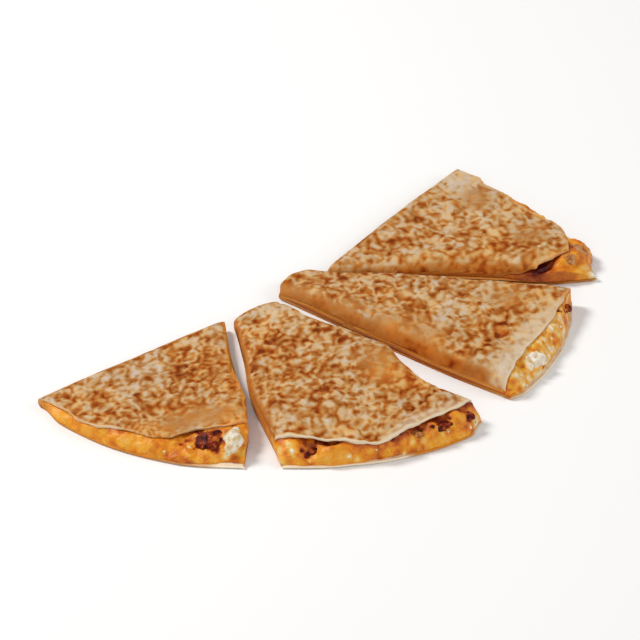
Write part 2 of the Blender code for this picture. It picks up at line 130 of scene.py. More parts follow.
HOLLOWS = ((53.0, 0.1220, 0.0032, 0.0050), (57.5, 0.1205, 0.0020, 0.0040),
           (133.6, 0.1050, 0.0026, 0.0070), (131.4, 0.1140, -0.0008, 0.0050), (36.0, 0.1180, 0.0014, 0.0060),
           (98.7, 0.1210, 0.0016, 0.0030), (75.5, 0.1240, 0.0020, 0.0036),
           (81.0, 0.1230, 0.0018, 0.0045), (87.2, 0.1230, 0.0012, 0.0030),
           (91.0, 0.1250, 0.0008, 0.0035), (124.0, 0.1225, 0.0008, 0.0030))

BULGES = ((60.0, 0.0010, 5.0), (139.2, 0.0026, 3.2))

BOWS = {
    ("a", "right"): ((0.62, 0.0034, 0.22), (0.84, 0.0016, 0.07), (0.42, -0.0022, 0.07), (0.25, -0.0008, 0.12),
                     (0.60, 0.0007, 0.03), (0.72, 0.0006, 0.025)),
    ("b", "left"): ((0.55, 0.0036, 0.26),),
    ("b", "right"): ((0.19, -0.0030, 0.09), (0.36, 0.0022, 0.08), (0.50, 0.0040, 0.07),
                     (0.78, -0.0044, 0.13)),
    ("c", "left"): ((0.45, 0.0016, 0.35), (0.76, 0.0012, 0.18)),
    ("d", "left"): ((0.80, 0.0045, 0.16),),
}

CHUNKS = {
    "chicken_a_dark": ("a", 40.2, 0.0096, (0.0054, 0.0042, 0.0029), 12, -18),
    "chicken_a_pale": ("a", 45.0, 0.0104, (0.0036, 0.0052, 0.0028), -8, -22),
    "chicken_b_deep": ("b", 53.8, 0.0058, (0.0032, 0.0026, 0.0019), 10, 0),
    "chicken_b_middle": ("b", 75.5, 0.0016, (0.0026, 0.0022, 0.0021), -14, -12),
    "chicken_b_right": ("b", 81.0, 0.0024, (0.0048, 0.0026, 0.0022), 12, -10),
    "chicken_b_corner": ("b", 87.2, 0.0032, (0.0024, 0.0026, 0.0022), 0, 0),
    "cream_c": ("c", 103.8, 0.0042, (0.0044, 0.0036, 0.0022), 6, -30),
    "chicken_c": ("c", 123.8, 0.0050, (0.0028, 0.0018, 0.0017), -20, -10),
    "chicken_d_front": ("d", 137.6, 0.0022, (0.0044, 0.0030, 0.0023), 15, -10),
    "chicken_d_side": ("d", 133.6, 0.0092, (0.0030, 0.0028, 0.0021), 30, 0),
}

# ------------------------------------------------------------------------- looks: where the browning is
# For each wedge: (angle, distance from the centre, more or less browning, reach), in degrees and millimetres.
TOASTED = {
    "a": ((25, 66, .55, 11), (28, 60, .35, 8), (24, 74, .45, 9), (25.5, 86, .4, 7), (13, 47, .3, 6),
          (11.5, 101, .35, 5), (11.5, 111, .4, 5), (10, 126, .7, 6), (19, 117, .35, 8), (36, 71, .35, 10),
          (9, 107, -.4, 8), (11.5, 93, -.5, 10), (10.5, 79, -.45, 10), (9, 65, -.3, 8), (5, 127, -.6, 6),
          (16.5, 46, -.3, 10), (21, 73, .85, 6), (14, 66, .75, 6), (5, 116, .6, 6), (17, 110, .55, 6),
          (30, 95, .5, 7), (25, 99, .4, 6), (7, 99, -.55, 7), (5.5, 89, -.8, 7), (24.5, 122, -.5, 5),
          (42.5, 104, -.5, 6), (43, 96, -.6, 6), (4, 36, -.4, 6), (3, 127, -.9, 5)),
    "b": ((34, 36, .35, 10), (58, 39, .4, 9), (47, 67, .4, 12), (68.5, 75, .2, 10), (41, 12.5, -.9, 8),
          (17, 12.7, -1.1, 8), (75.6, 57, -.6, 9), (50.5, 80, -.5, 8), (53.5, 73, -.3, 6),
          (40, 48, .8, 6), (77, 36, .7, 6), (50, 78, .8, 7), (62, 71, .6, 7), (80, 50, .6, 6),
          (73, 106, .6, 6), (58, 31, -.7, 7), (61, 51, -.6, 6), (67, 53, -.45, 6), (38, 57, -.5, 6),
          (47.6, 106, -.6, 6), (60, 115, -.8, 7), (87, 100, -.45, 6), (23, 38, -.5, 6),
          (69, 122, -.8, 4), (76, 118, -.8, 6), (85, 114, -.6, 6)),
    "c": ((101, 12.5, .3, 10), (113, 65, .2, 12), (98, 93, .5, 6), (108, 100, .45, 6), (105, 42, -.4, 10),
          (116, 63, -.3, 8), (129, 50, -.3, 8), (122, 118, -1.2, 8), (115, 115.5, -1.6, 8),
          (107, 114, -1.6, 8), (100, 117, -1.5, 8), (94.3, 121.5, -1.3, 9), (101, 101, .4, 6),
          (128, 70, .8, 7), (115, 47, .7, 7), (125, 29, .6, 7), (125, 41, .5, 6), (92, 104, -.5, 6),
          (128, 84, -.5, 6), (109, 87, -.6, 6), (139, 4, -.5, 6), (93, 110, -.8, 6), (114, 81, -.6, 6)),
    "d": ((171, 46, .5, 7), (162, 58, .3, 9), (158, 74, .3, 8), (154, 83, .3, 8), (143, 81, .4, 7),
          (138, 92, .4, 6), (168.6, 87, .3, 7), (176.7, 47, .5, 4), (146.5, 116, .3, 5),
          (174.3, 113, -2.6, 9), (178, 120, -2.2, 6), (149, 42, -.5, 10), (151, 63, -.4, 8),
          (143, 114, -.6, 5), (171, 31, -.4, 6), (166, 59, -.3, 6), (142, 78, .6, 6), (162, 60, .5, 6),
          (142, 101, .5, 6), (136, 101, .5, 5), (141, 107, .5, 4), (167, 56, .5, 6), (174.6, 75, .4, 6),
          (145.4, 114, .4, 4), (164, 87, -.8, 7), (156.4, 100, -.8, 7), (160, 109, -.9, 7)),
}

# Where the sheet's colour is more orange, or greyer where negative, in the same way.
TINTED = {
    "a": ((27.5, 120, 1.7, 7), (44.5, 104, 1.6, 6), (43, 96, 1, 5), (40, 75, 1.8, 6), (16, 122, .7, 6),
          (31, 117, .8, 6), (11.5, 80, -1.2, 10), (5, 91, -.8, 8), (15, 101, -.7, 7), (24, 118, .8, 5)),
    "b": ((86.5, 94, 2, 9), (83.5, 78, 1.5, 8), (79.5, 82, 1, 6), (60, 116, .9, 7), (72.5, 106, .5, 6),
          (50, 117, .6, 6), (72, 124, -.8, 5), (78, 119, -.6, 6), (25, 30, 1, 8)),
    "c": ((91.8, 79, 1.7, 8), (92, 96, 1, 6), (92, 60, 1.2, 8), (113.5, 102.5, 1, 4), (106.5, 101.5, 1, 4),
          (124, 108, 1.2, 7), (125, 118, 1.2, 5), (99, 102, 1, 4), (94, 122, -1, 7), (98, 118, -1, 7)),
    "d": ((137.4, 82, 1.2, 8), (135, 110, 1.4, 7), (145, 90, .9, 8), (152.4, 92, .9, 7), (140, 68, 1, 8),
          (141, 107, .7, 5), (146, 48, .9, 8), (175, 112, -.5, 6)),
}

# Places where the sheet is smooth and evenly tanned, in the same way, the third number being the share.
SMOOTH = {
    "a": ((33, 106, .9, 8), (38, 101, .8, 8), (41, 98, .5, 6), (30, 114, .7, 6)),
    "b": ((84.4, 70, .8, 8), (79, 80.8, .6, 7)),
    "c": ((60, 3.5, 1, 7), (90.5, 73, 1, 11), (91, 54, .9, 9), (124, 97.4, .6, 8), (96.4, 34, .5, 6)),
    "d": ((169.3, 111.3, .9, 6), (166.5, 105.4, .8, 6), (146, 108.7, .5, 7)),
}

# Creases (raised where positive): points as (angle, distance), height, half width, change in browning; the
# change is partly painted light, a highlight along raised creases and shade along sunken ones.
CREASES = {
    "a": ((((33.0, 0.1160), (36.9, 0.1098), (41.4, 0.1042)), 0.0005, 0.0010, -0.45),
          (((38.5, 0.0970), (41.3, 0.0928), (44.3, 0.0949)), 0.0004, 0.0009, -0.35),
          (((38.5, 0.1035), (41.0, 0.0990), (44.2, 0.1040)), -0.0004, 0.0014, 0.25)),
    "b": ((((65.0, 0.1255), (68.9, 0.1217), (74.9, 0.1152), (82.2, 0.1082), (88.0, 0.1030)),
           -0.0006, 0.0009, 0.30),
          (((51.0, 0.0800), (57.0, 0.0770), (63.0, 0.0690)), 0.0004, 0.0012, -0.35),
          (((62.0, 0.0960), (70.0, 0.0930), (78.0, 0.0930)), 0.0003, 0.0010, -0.25)),
    "c": ((((108.0, 0.0700), (113.0, 0.0700), (119.0, 0.0760)), 0.0004, 0.0012, -0.25),
          (((112.0, 0.0600), (118.0, 0.0590), (125.0, 0.0640)), 0.0004, 0.0012, -0.25),
          (((97.5, 0.1022), (106.0, 0.1012), (115.0, 0.1022)), -0.0002, 0.0017, 0.22)),
    "d": ((((133.0, 0.0930), (137.0, 0.1010), (139.0, 0.1100)), 0.0004, 0.0010, -0.30),
          (((150.0, 0.0950), (156.0, 0.0960), (162.0, 0.1000)), 0.0004, 0.0012, -0.30)),
}

# How pale the rim of the top sheet is, by angle, and how wide the pale band is, in millimetres.
PALE_LIP = {
    "a": (((0, .6), (14, .6), (21, .8), (25, .3), (33, .1), (37, .5), (48, .4)), ((0, .9), (48, .9))),
    "b": (((46, .8), (50, 1), (91, 1)), ((46, 1), (62, 1.4), (68, 3), (74, 8), (82, 9), (91, 6))),
    "c": (((91, .9), (112, .9), (122, .7), (131, .2)),
          ((91, 11), (100, 12), (112, 11), (122, 8), (131, 1.6))),
    "d": (((128, .3), (140, .3), (160, .3), (180, .5)), ((128, .9), (180, 1))),
}

# How golden the lip's edge is, by angle.
GOLD_LIP = {"a": ((0, 0.5), (18, 0.5), (25, 0.1), (38, 0.1), (43, 0.7), (48, 0.8)),
            "b": ((46, 0.0), (91, 0.0)),
            "c": ((91, 0.0), (112, 0.2), (131, 0.5)), "d": ((131, 0.4), (150, 0.55), (180, 0.55))}

# Where the sheet is darker red along the foot of the left cut, in degrees and millimetres as above.
FOOT_DARKENING = {"c": ((91, 74, .9, 8), (91.5, 95, .9, 6), (91.5, 110, .6, 5), (89, 38, .5, 5), (88, 20, .5, 4)),
          "d": ((132, 50, .5, 25), (131, 88, .7, 12))}

# How orange and greasy the rim of the bottom sheet is, by angle.
RIM_GREASE = {
    "a": ((0, 1), (28, 1), (35, 0.7), (40, 0.5), (43, 0.05)),
    "b": ((47, 0.05), (52, 0.2), (60, 0.1), (71, 0.05), (75, 1.0), (86, 1.0), (88.5, 0.3)),
    "c": ((91, 0.5), (96, 0.2), (100, 0.1), (130, 0.1)),
    "d": ((131, 0.1), (134, 0.2), (139, 0.6), (165, 0.6), (178, 0.2)),
}

# What the filling shows at its open sides, by kind: (angle, inward from the rim, height, reach), in
# degrees and millimetres. The white features are partly cream and partly painted highlights.
FILLING_FEATURES = {
    "a": {
        "shaded_hollow": ((41, 8.5, 8, 1.1),),
        "meat": ((32, 9, 6.5, .7), (34.5, 7.5, 5, .7), (35.5, 10.5, 6, .7), (37.5, 7, 4.5, .6),
                 (36.5, 16.5, 6.5, .8), (37.5, 16, 7, 1), (39.5, 12, 8.5, 1.1), (42.3, 10, 7.5, 1.2),
                 (42, 6, 6, 1), (39, 7, 5, .6)),
        "red": ((22, 5.5, 6.5, 1.5), (34, 3.5, 3.5, 1.5), (36, 13, 6, .9), (38.5, 9, 6.5, .8),
                (40, 7, 6, .7), (46, 3.5, 3, 1.1), (34.5, .5, 1.5, 1)),
        "yellow": ((12, 1, 1.5, 1), (6, .5, 2, 2), (9, 1.5, 3, 2), (15, 2, 3, 2), (18.5, 2.5, 4.5, 1.2),
                   (23.5, 3, 4, 2), (26, 5.5, 7.5, 1.5), (28, 2.5, 3.5, 2), (39, 3, 2.5, 1),
                   (42, 2, 1.5, 1.2)),
        "pale": ((19.5, 1.5, 2, .8), (29.5, 6, 6.5, .8), (37, 3, 2.5, .8), (44, 4, 4, 1.1)),
        "white_and_glint": ((32, 3, 3.5, .6), (36.5, 7, 5, .6), (45.5, 0, 1, 1)),
    },
    "b": {
        "shaded_hollow": ((51.5, 6, 5.5, .8), (52.5, 4.5, 3.5, .8), (56.5, 9.5, 7, .8)),
        "meat": ((55, 10, 7.5, .8), (58.5, 7, 9, .9), (69.5, 3.5, 9.5, .7), (71.5, 4.5, 9, .7),
                 (76, 7, 7.5, .9), (78.5, 5.5, 8.5, .8), (82, 7, 7.5, .8), (83.5, 7, 8, .7),
                 (86.5, 3.5, 7, .8)),
        "brown": ((54, 8.5, 6, 1.1), (74, 6.5, 7.5, .9), (80, 6.5, 8, .8)),
        "red": ((51.5, 9.5, 9.5, 1), (65.5, 2, 8.8, .8), (62, 2, 8.5, 1), (70, 3, 3, 1.2),
                (77.5, 6, 8.5, .8), (73.5, 2, 2, 1.3)),
        "orange": ((63.5, 2, 6.5, 1), (64, 2, 2, 1.4), (65.9, 1.5, 4, 1.1), (67, 2, 7.5, .9)),
        "yellow": ((44.5, 24, 4, 1.2), (46.4, 11, 4, 1.5), (47, 4.5, 3.5, 1.2), (56, 2.5, 4, 2.2),
                   (59, 2, 4, 2.4), (64.8, 1.8, 6, 1.1), (68, 1.5, 3.5, 1.6), (79, 1, 2, 1.8),
                   (81, 1, 2, 1.8), (77, 1.5, 2, 1.5), (83.5, 2.5, 2, 1.8)),
        "pale": ((46.8, 7, 5, 1.3), (47.5, 2.5, 1.5, 1.3), (45.4, 15.5, 4.7, 1), (48.5, 9, 7.5, .7),
                 (48.7, 7.1, 8, .8), (50, 3.5, 4, .7), (53, 3, 2, .8), (62, 1, 3, .8), (73.5, 3, 5.5, 1),
                 (80, 3, 5.5, .7), (76, 3, 5, 1.1), (84, 3, 3, .6), (89, .5, 1.5, 1.6),
                 (89.5, 2, 4, 1.6)),
        "white_and_glint": ((49.5, 5, 6, 1), (60.5, 1.5, 4.5, .7), (66, 2, 6, .5), (71.5, 2, 1.5, .6),
                  (81.5, 3.5, 5, .7), (86.5, 2.5, 3.5, .8), (88.5, 1, 3, 1.2)),
    },
    "c": {
        "meat": ((120.5, 5.5, 9, .8), (122, 4, 7.5, .8), (124, 2.5, 7, .8)),
        "brown": ((92, 2.5, 4.5, .8),),
        "red": ((108, 6.5, 8, .9), (111.5, 3.5, 4.5, 1), (98.5, 6.5, 7.5, 1.1), (104.5, 1.5, 1.5, .8),
                (94, 2.5, 3.5, 1), (91.5, 3.5, 2.5, .8), (93.5, 3, 6.5, 1)),
        "orange": ((92.5, .5, 1.5, 1.1),),
        "yellow": ((109.5, 6, 7.5, .6), (97, .5, 1.5, 1)),
        "pale": ((126.5, 4, 9, .6), (118.5, 5, 8, 1.2), (115.3, 5, 8.8, 1.2), (112.5, 6.2, 9.6, .9),
                 (114.5, 3.5, 6, .6), (99, 4.5, 6.5, .6), (98.5, 3, 4, .7), (100.5, 2.5, 2.5, 1.1),
                 (100.5, .5, 1.5, .8)),
        "white_and_glint": ((113.5, 6, 9, .6), (117, 4, 6, .6), (111.5, 5, 7, .7), (104.5, 5.5, 8, .7),
                  (103.5, 6, 8, .7), (105, 4, 7.5, .6), (107.5, 3, 4, .6), (109, 3.5, 4.5, .6),
                  (102, 4, 6.5, 1.3), (106, 3, 3, .6), (101.5, 7.5, 8.5, .6), (100.2, 4.2, 7.2, 1.4),
                  (101.2, 7, 8.9, .8), (96.5, 3, 2, .7)),
    },
    "d": {
        "shaded_hollow": ((133.8, 26, 4.2, 1.7), (133.9, 23, 5, 2.1), (131.1, 27.5, 5.3, 1.1),
                   (131.2, 25.7, 6.1, 1.3), (131.7, 23.8, 6.3, 1.5), (132.2, 21.8, 6.5, 1.4)),
        "meat": ((138, 7.5, 8.5, .6),),
        "brown": ((133.5, 31, 2, 1.2), (133.6, 29.5, 2.8, 1.6), (133.2, 22, 3.8, 1.3),
                  (133.9, 19, 6.8, 1.5), (130.8, 25, 2.8, 1.6), (131.7, 32.6, 2.5, .9),
                  (131.4, 30.9, 3.2, .9), (131.2, 29.3, 5, 1.2), (132.8, 19.7, 7.2, 1.1),
                  (132.3, 17.5, 3.5, 1.2), (132, 16, 2.5, 1.1)),
        "red": ((131.2, 28, 2.5, 1.2), (130.6, 22, 2.6, 1.6), (131.4, 14, 6.5, 1.3), (132, 11.5, 5.5, 1),
                (135, 5, 7.5, 1), (133.5, 5.5, 6, .8), (132.3, 20, 2.5, 1.3), (133.5, 8.5, 7, .8)),
        "orange": ((132.8, 19.3, 5, 1.2), (133, 16.5, 5.6, 1.6), (131.7, 9.5, 2.8, 1.5),
                   (133.2, 8.4, 7, 1.6)),
        "yellow": ((131.1, 7, 3.3, 1.9), (133, 3.5, 5, 1.5), (135.5, 9, 8.5, .8)),
        "pale": ((138, 4.5, 7.5, .9), (132, 5.4, 5, 1.2), (131, 3.5, 2.5, 1.2), (133, .8, 5.5, 1.5)),
        "white_and_glint": ((131, 1.5, 2, 1.4), (131.6, 1, 4, 1.3)),
    },
}

# Shade of each kind of feature on the filling's ramp, and how far it stands out; the near-black of the
# hollows is painted shade.
KINDS = {"shaded_hollow": 0.02, "meat": 0.12, "brown": 0.30, "red": 0.44, "orange": 0.57, "yellow": 0.72,
         "pale": 0.86, "white_and_glint": 1.0}
LIFTS = {"shaded_hollow": -0.0012, "meat": -0.0002, "brown": -0.0002, "red": -0.0002, "orange": 0.0,
         "yellow": 0.0004, "pale": 0.0003, "white_and_glint": 0.0005}

# Shade of the filling's cut sides, at their foot and at their top.
PLAIN_WALL = (0.50, 0.58)
WALL_TONES = {("a", 0): (0.66, 0.70), ("b", 0): (0.62, 0.66), ("c", 0): (0.26, 0.50), ("d", 0): (0.36, 0.52)}

# How much of a cut side is covered by browned sheet.
CRUSTS = {("a", 0): 0.3, ("b", 0): 0.6, ("c", 0): 0.95, ("d", 0): 0.5, ("d", 1): 1.0}

# ------------------------------------------------------------------ the CAD model's shape functions
def smooth(value):
    """Ease from 0 to 1."""
    value = np.clip(value, 0.0, 1.0)
    return value * value * (3.0 - 2.0 * value)


def along_stations(stations, where):
    """A smooth value between stations of (place, value)."""
    where = np.asarray(where, dtype=float)
    result = np.full(where.shape, float(stations[0][1]))
    for (start, low), (end, high) in zip(stations[:-1], stations[1:]):
        between = low + (high - low) * smooth((where - start) / (end - start))
        result = np.where(where >= start, between, result)
    return result


def arc_point(angle, radius=RADIUS):
    """The point of the uncut half-moon at an angle and a distance from its centre."""
    angle = np.radians(angle)
    return -radius * np.cos(angle), -radius * np.sin(angle)


def arc_angle(x, y):
    return np.degrees(np.arctan2(-y, -x))


def spots(x, y, entries):
    """Sum of round soft spots, each given as (angle, distance from the centre, height, reach)."""
    total = np.zeros(np.shape(x))
    for angle, radius, height, reach in entries:
        spot_x, spot_y = arc_point(angle, radius)
        total = total + height * np.exp(-((x - spot_x) ** 2 + (y - spot_y) ** 2) / reach ** 2)
    return total


def patches(x, y, entries):
    """The same for entries in degrees and millimetres."""
    return spots(1000.0 * x, 1000.0 * y, entries)


class Wedge:
    """The outline and the heights of one wedge; s runs from the fold to the arc, t across."""

    def __init__(self, name):
        self.name = name
        for key, value in WEDGES[name].items():
            setattr(self, key, value)

    def angle(self, t):
        return self.arc[0] + (self.arc[1] - self.arc[0]) * t

    def ends(self, t):
        """The points on the fold and on the bottom sheet's rim that row t joins."""
        fold_x = self.fold[0] + (self.fold[1] - self.fold[0]) * t
        fold_y = along_stations(self.fold_out, t)
        angle = self.angle(t)
        arc_x, arc_y = arc_point(angle, RADIUS + along_stations(self.rim, angle))
        return fold_x, fold_y, arc_x, arc_y

    def length(self, t):
        fold_x, fold_y, arc_x, arc_y = self.ends(t)
        return np.hypot(arc_x - fold_x, arc_y - fold_y)

    def plan(self, s, t):
        """The point of the uncut half-moon at (s, t), with the bulges of the cuts."""
        fold_x, fold_y, arc_x, arc_y = self.ends(t)
        x = fold_x + (arc_x - fold_x) * s
        y = fold_y + (arc_y - fold_y) * s
        for side, edge, outward in (("left", 0.0, -1.0), ("right", 1.0, 1.0)):
            from_x, from_y, to_x, to_y = self.ends(edge)
            edge_length = self.length(edge)
            across_x = -(to_y - from_y) / edge_length * outward
            across_y = (to_x - from_x) / edge_length * outward
            nearness = (1.0 - abs(t - edge)) ** 3
            for middle, amount, reach in BOWS.get((self.name, side), ()):
                bulge = amount * np.exp(-((s - middle) / reach) ** 2) * nearness
                x = x + across_x * bulge
                y = y + across_y * bulge
        return x, y

    def cut_distances(self, s, t):
        """Distance from the left and from the right cut, and the width of the wedge there."""
        left_x, left_y = self.plan(s, 0.0)
        right_x, right_y = self.plan(s, 1.0)
        width = np.hypot(right_x - left_x, right_y - left_y)
        return t * width, (1.0 - t) * width, width

    def shoulder(self, s, t):
        """How far along a rounded shoulder a point is, 1 at the cut, and how deep it drops."""
        from_left, from_right, width = self.cut_distances(s, t)
        reach = np.minimum(SHOULDER, SHOULDER_SHARE * width) + TINY
        edge = np.zeros(np.shape(s + t))
        drop = np.zeros(np.shape(s + t))
        for distance, depth in ((from_left, self.left), (from_right, self.right)):
            if not depth:
                continue
            close = np.clip(1.0 - distance / reach, 0.0, 1.0)
            deep = along_stations(depth, s)
            bend = 1.0 - np.sqrt(1.0 - SHOULDER_BEND * close ** 2)
            drop = drop + deep * bend / (1.0 - math.sqrt(1.0 - SHOULDER_BEND))
            edge = np.maximum(edge, close)
        return edge, drop

    def top(self, s, t):
        """Height of the top sheet's upper face."""
        x, y = self.plan(s, t)
        angle = np.clip(arc_angle(x, np.minimum(y, -TINY)), 0.0, 180.0)
        fold_height = FOLD_HEIGHT + (TIP_HEIGHT - FOLD_HEIGHT) * np.minimum(np.abs(x) / RADIUS, 1.0) ** 3
        arc_height = TIP_HEIGHT + (BODY_HEIGHT - TIP_HEIGHT) * np.sin(np.radians(angle)) ** HEIGHT_POWER
        depth = np.maximum(along_stations(self.fold_out, t) - y, 0.0)
        rise = 1.0 - np.exp(-(depth / FOLD_RISE) ** 1.3)
        height = fold_height + (arc_height - fold_height) * rise + spots(x, y, SWELLS) * rise
        return height - self.shoulder(s, t)[1]

    def fold_round(self, t):
        """Half the height of the fold, which is also how deep its round end is."""
        return self.top(0.0, t) / 2.0

    def lip_place(self, t):
        """The value of s at which row t crosses the rim of the top sheet."""
        length = self.length(t)
        fold_x, fold_y, arc_x, arc_y = self.ends(t)
        rim = along_stations(self.rim, self.angle(t))
        outwards = ((arc_x - fold_x) * arc_x + (arc_y - fold_y) * arc_y) / (length * np.hypot(arc_x, arc_y))
        s = NEAR_ARC * np.ones(np.shape(t))
        for _ in range(SEARCH_ROUNDS):
            lip = along_stations(self.lip, arc_angle(*self.plan(s, t)))
            s = 1.0 - np.maximum(rim + lip, LEAST_SETBACK) / (length * np.maximum(outwards, LEAST_OUTWARDS))
        return s

    def placed(self, x, y):
        """A point of the uncut half-moon moved to where this wedge lies in the frame."""
        turn = math.radians(self.turn)
        shift_x = x - self.pivot
        new_x = self.pivot + shift_x * math.cos(turn) - y * math.sin(turn) + self.move[0]
        new_y = shift_x * math.sin(turn) + y * math.cos(turn) + self.move[1]
        return new_x - LAYOUT_CENTRE[0], new_y - LAYOUT_CENTRE[1]


LAYOUT_CENTRE = (0.0, 0.0)


def layout_centre():
    """What to take off so that the wedges' middle is the middle of the CAD model."""
    even = np.linspace(-1.0, 1.0, CAD_ROWS)
    rows = 0.5 + 0.5 * (0.45 * even + 0.55 * np.sin(even * math.pi / 2.0))
    every_x, every_y = [], []
    for name in WEDGES:
        wedge = Wedge(name)
        for s in (0.0, 1.0):
            x, y = wedge.placed(*wedge.plan(s * np.ones(CAD_ROWS), rows))
            every_x.extend(x)
            every_y.extend(y)
    middle = (cad_low + cad_high) / 2.0
    return ((min(every_x) + max(every_x)) / 2.0 - middle.x, (min(every_y) + max(every_y)) / 2.0 - middle.y)


def bulge_at(angle):
    """How far the filling bulges out over the rim of the bottom sheet."""
    return sum(distance * np.exp(-((angle - middle) / reach) ** 2) for middle, distance, reach in BULGES)


# ------------------------------------------------------------------------------------------- noise
TABLE_SIZE = 256
NOISE_GAIN = 1.9
OCTAVE_STEP = 2.03
SEED_STEP = 17
TABLES = {}


def make_tables(seed):
    draw = np.random.RandomState(seed)
    order = draw.permutation(TABLE_SIZE)
    vectors = draw.normal(size=(TABLE_SIZE, 3))
    vectors /= np.linalg.norm(vectors, axis=1)[:, None]
    return order, vectors


def noise(points, size, seed):
    """Smooth noise of about -1 to 1 whose waves are about size long, at an array of points."""
    if seed not in TABLES:
        TABLES[seed] = make_tables(seed)
    order, vectors = TABLES[seed]
    scaled = np.asarray(points) / size
    cell = np.floor(scaled).astype(int)
    part = scaled - cell
    ease = part ** 3 * (part * (part * 6.0 - 15.0) + 10.0)
    total = np.zeros(scaled.shape[:-1])
    for dx in (0, 1):
        weight_x = ease[..., 0] if dx else 1.0 - ease[..., 0]
        for dy in (0, 1):
            weight_y = ease[..., 1] if dy else 1.0 - ease[..., 1]
            for dz in (0, 1):
                weight_z = ease[..., 2] if dz else 1.0 - ease[..., 2]
                key = order[(cell[..., 0] + dx) % TABLE_SIZE]
                key = order[(key + cell[..., 1] + dy) % TABLE_SIZE]
                key = order[(key + cell[..., 2] + dz) % TABLE_SIZE]
                corner = vectors[key]
                away = part - np.array((dx, dy, dz))
                total += weight_x * weight_y * weight_z * np.sum(corner * away, axis=-1)
    return total * NOISE_GAIN


def cloud(points, size, seed, octaves=3, gain=0.5):
    """Several sizes of noise on top of one another."""
    total = np.zeros(np.shape(points)[:-1])
    amount, norm = 1.0, 0.0
    for i in range(octaves):
        total += amount * noise(points, size / OCTAVE_STEP ** i, seed + SEED_STEP * i)
        norm += amount ** 2
        amount *= gain
    return total / math.sqrt(norm)


def layers(points, entries):
    """Sum of layers of noise, each given as (amount, size, seed)."""
    return sum(amount * noise(points, size, seed) for amount, size, seed in entries)


def flat_points(x, y, z=0.0):
    return np.stack(np.broadcast_arrays(x, y, z), axis=-1)


# ------------------------------------------------------------------------------------ mesh helpers
SHARP_ANGLE = math.radians(50.0)


def add_object(name, data):
    made = bpy.data.objects.new(name, data)
    bpy.context.scene.collection.objects.link(made)
    return made


class Builder:
    """Collects grids of points, and the faces and values on them, into one mesh."""

    def __init__(self):
        self.points, self.faces, self.values, self.count = [], [], {}, 0

    def grid(self, points, **values):
        """Add a grid of points; returns the index of each."""
        shape = points.shape[:2]
        index = self.count + np.arange(shape[0] * shape[1]).reshape(shape)
        self.points.append(points.reshape(-1, 3))
        self.count += index.size
        for key, value in values.items():
            self.values.setdefault(key, []).append((index[0, 0], np.broadcast_to(value, shape).ravel()))
        return index

    def cover(self, index, flip=False):
        """Quads over a grid of indices."""
        a, b, c, d = index[:-1, :-1], index[1:, :-1], index[1:, 1:], index[:-1, 1:]
        quads = np.stack((a, d, c, b) if flip else (a, b, c, d), axis=-1).reshape(-1, 4)
        self.faces.extend(quads.tolist())

    def zip_lines(self, first, second, flip=False):
        """Triangles between two lines of indices that run side by side with different spacing."""
        i, j = 0, 0
        while i < len(first) - 1 or j < len(second) - 1:
            ahead_i = (i + 1) / (len(first) - 1) if i < len(first) - 1 else 2.0
            ahead_j = (j + 1) / (len(second) - 1) if j < len(second) - 1 else 2.0
            if ahead_i <= ahead_j:
                face = (first[i], first[i + 1], second[j])
                i += 1
            else:
                face = (first[i], second[j + 1], second[j])
                j += 1
            self.faces.append([int(k) for k in (face[::-1] if flip else face)])

    def finish(self, name, finish, slot, *nodes):
        """Make the object, let it ride on the part and stand for its CAD nodes."""
        mesh = bpy.data.meshes.new(name)
        mesh.from_pydata(np.concatenate(self.points).tolist(), [], self.faces)
        mesh.update()
        for key, blocks in self.values.items():
            column = np.zeros(self.count, np.float32)
            for start, block in blocks:
                column[start:start + len(block)] = block
            mesh.attributes.new(key, "FLOAT", "POINT").data.foreach_set("value", column)
        mesh.shade_smooth()
        mesh.set_sharp_from_angle(angle=SHARP_ANGLE)
        mesh.materials.append(finish)
        made = add_object(name, mesh)
        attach(made, "root")
        if nodes:
            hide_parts(*nodes)
        return made


def grid_normals(points):
    """Unit normals of a grid of points."""
    along = np.gradient(points, axis=0)
    across = np.gradient(points, axis=1)
    normal = np.cross(along, across)
    return normal / np.maximum(np.linalg.norm(normal, axis=-1, keepdims=True), 1e-12)


# ------------------------------------------------------------------------------------- fine outlines
RIM_GAP = 0.0011
LEAST_GAP = 0.0003
RIM_SHEET = 0.0010
RIM_LIFT = 0.0003
LIP_SHEET = 0.0009
LIP_TAPER = 0.006
LIP_GAP = 0.00012
LIP_WAVES = ((0.0004, 0.0075, 81), (0.00018, 0.0026, 82))
FRONT_WAVES = ((0.0004, 0.006, 83),)
HOLLOW_SHARE = 1.25
GREASE_GAP = 0.7
FAR_DROP, FAR_START = 0.7, 0.12
SEAM = 0.00003
FLOOR = SHEET + SEAM

# Where more of the bottom sheet's rim shows in front of the filling, by angle.
BARE_RIM = {"a": ((40, 0.0), (45, 0.0012)), "b": ((60, 0.0), (68, 0.0008), (76, 0.0004), (80, 0.0)),
            "c": ((94, 0.0), (98, 0.0008), (126, 0.0008), (130, 0.0002))}

# Where the filling falls away behind the rim of the top sheet, by angle.
FAR_SIDE = {"d": ((140, 0.0), (145, 1.0), (172, 1.0), (177, 0.0))}


def by_angle(table, wedge, t):
    """A table's value for row t of a wedge, and 0 where the table leaves the wedge out."""
    return along_stations(table.get(wedge.name, ((0, 0.0),)), wedge.angle(t))


def lip_edge(wedge, t):
    """The lip of the top sheet with its small waves."""
    lip = wedge.lip_place(t)
    return lip + layers(flat_points(*wedge.plan(lip, t)), LIP_WAVES) / wedge.length(t)


def filling_front(wedge, t):
    """Where the filling ends on the bottom sheet."""
    gap = RIM_GAP * (1.0 - GREASE_GAP * by_angle(RIM_GREASE, wedge, t))
    gap = gap + layers(flat_points(*wedge.plan(1.0, t)), FRONT_WAVES) + by_angle(BARE_RIM, wedge, t)
    return 1.0 - (np.maximum(gap, LEAST_GAP) - bulge_at(wedge.angle(t))) / wedge.length(t)


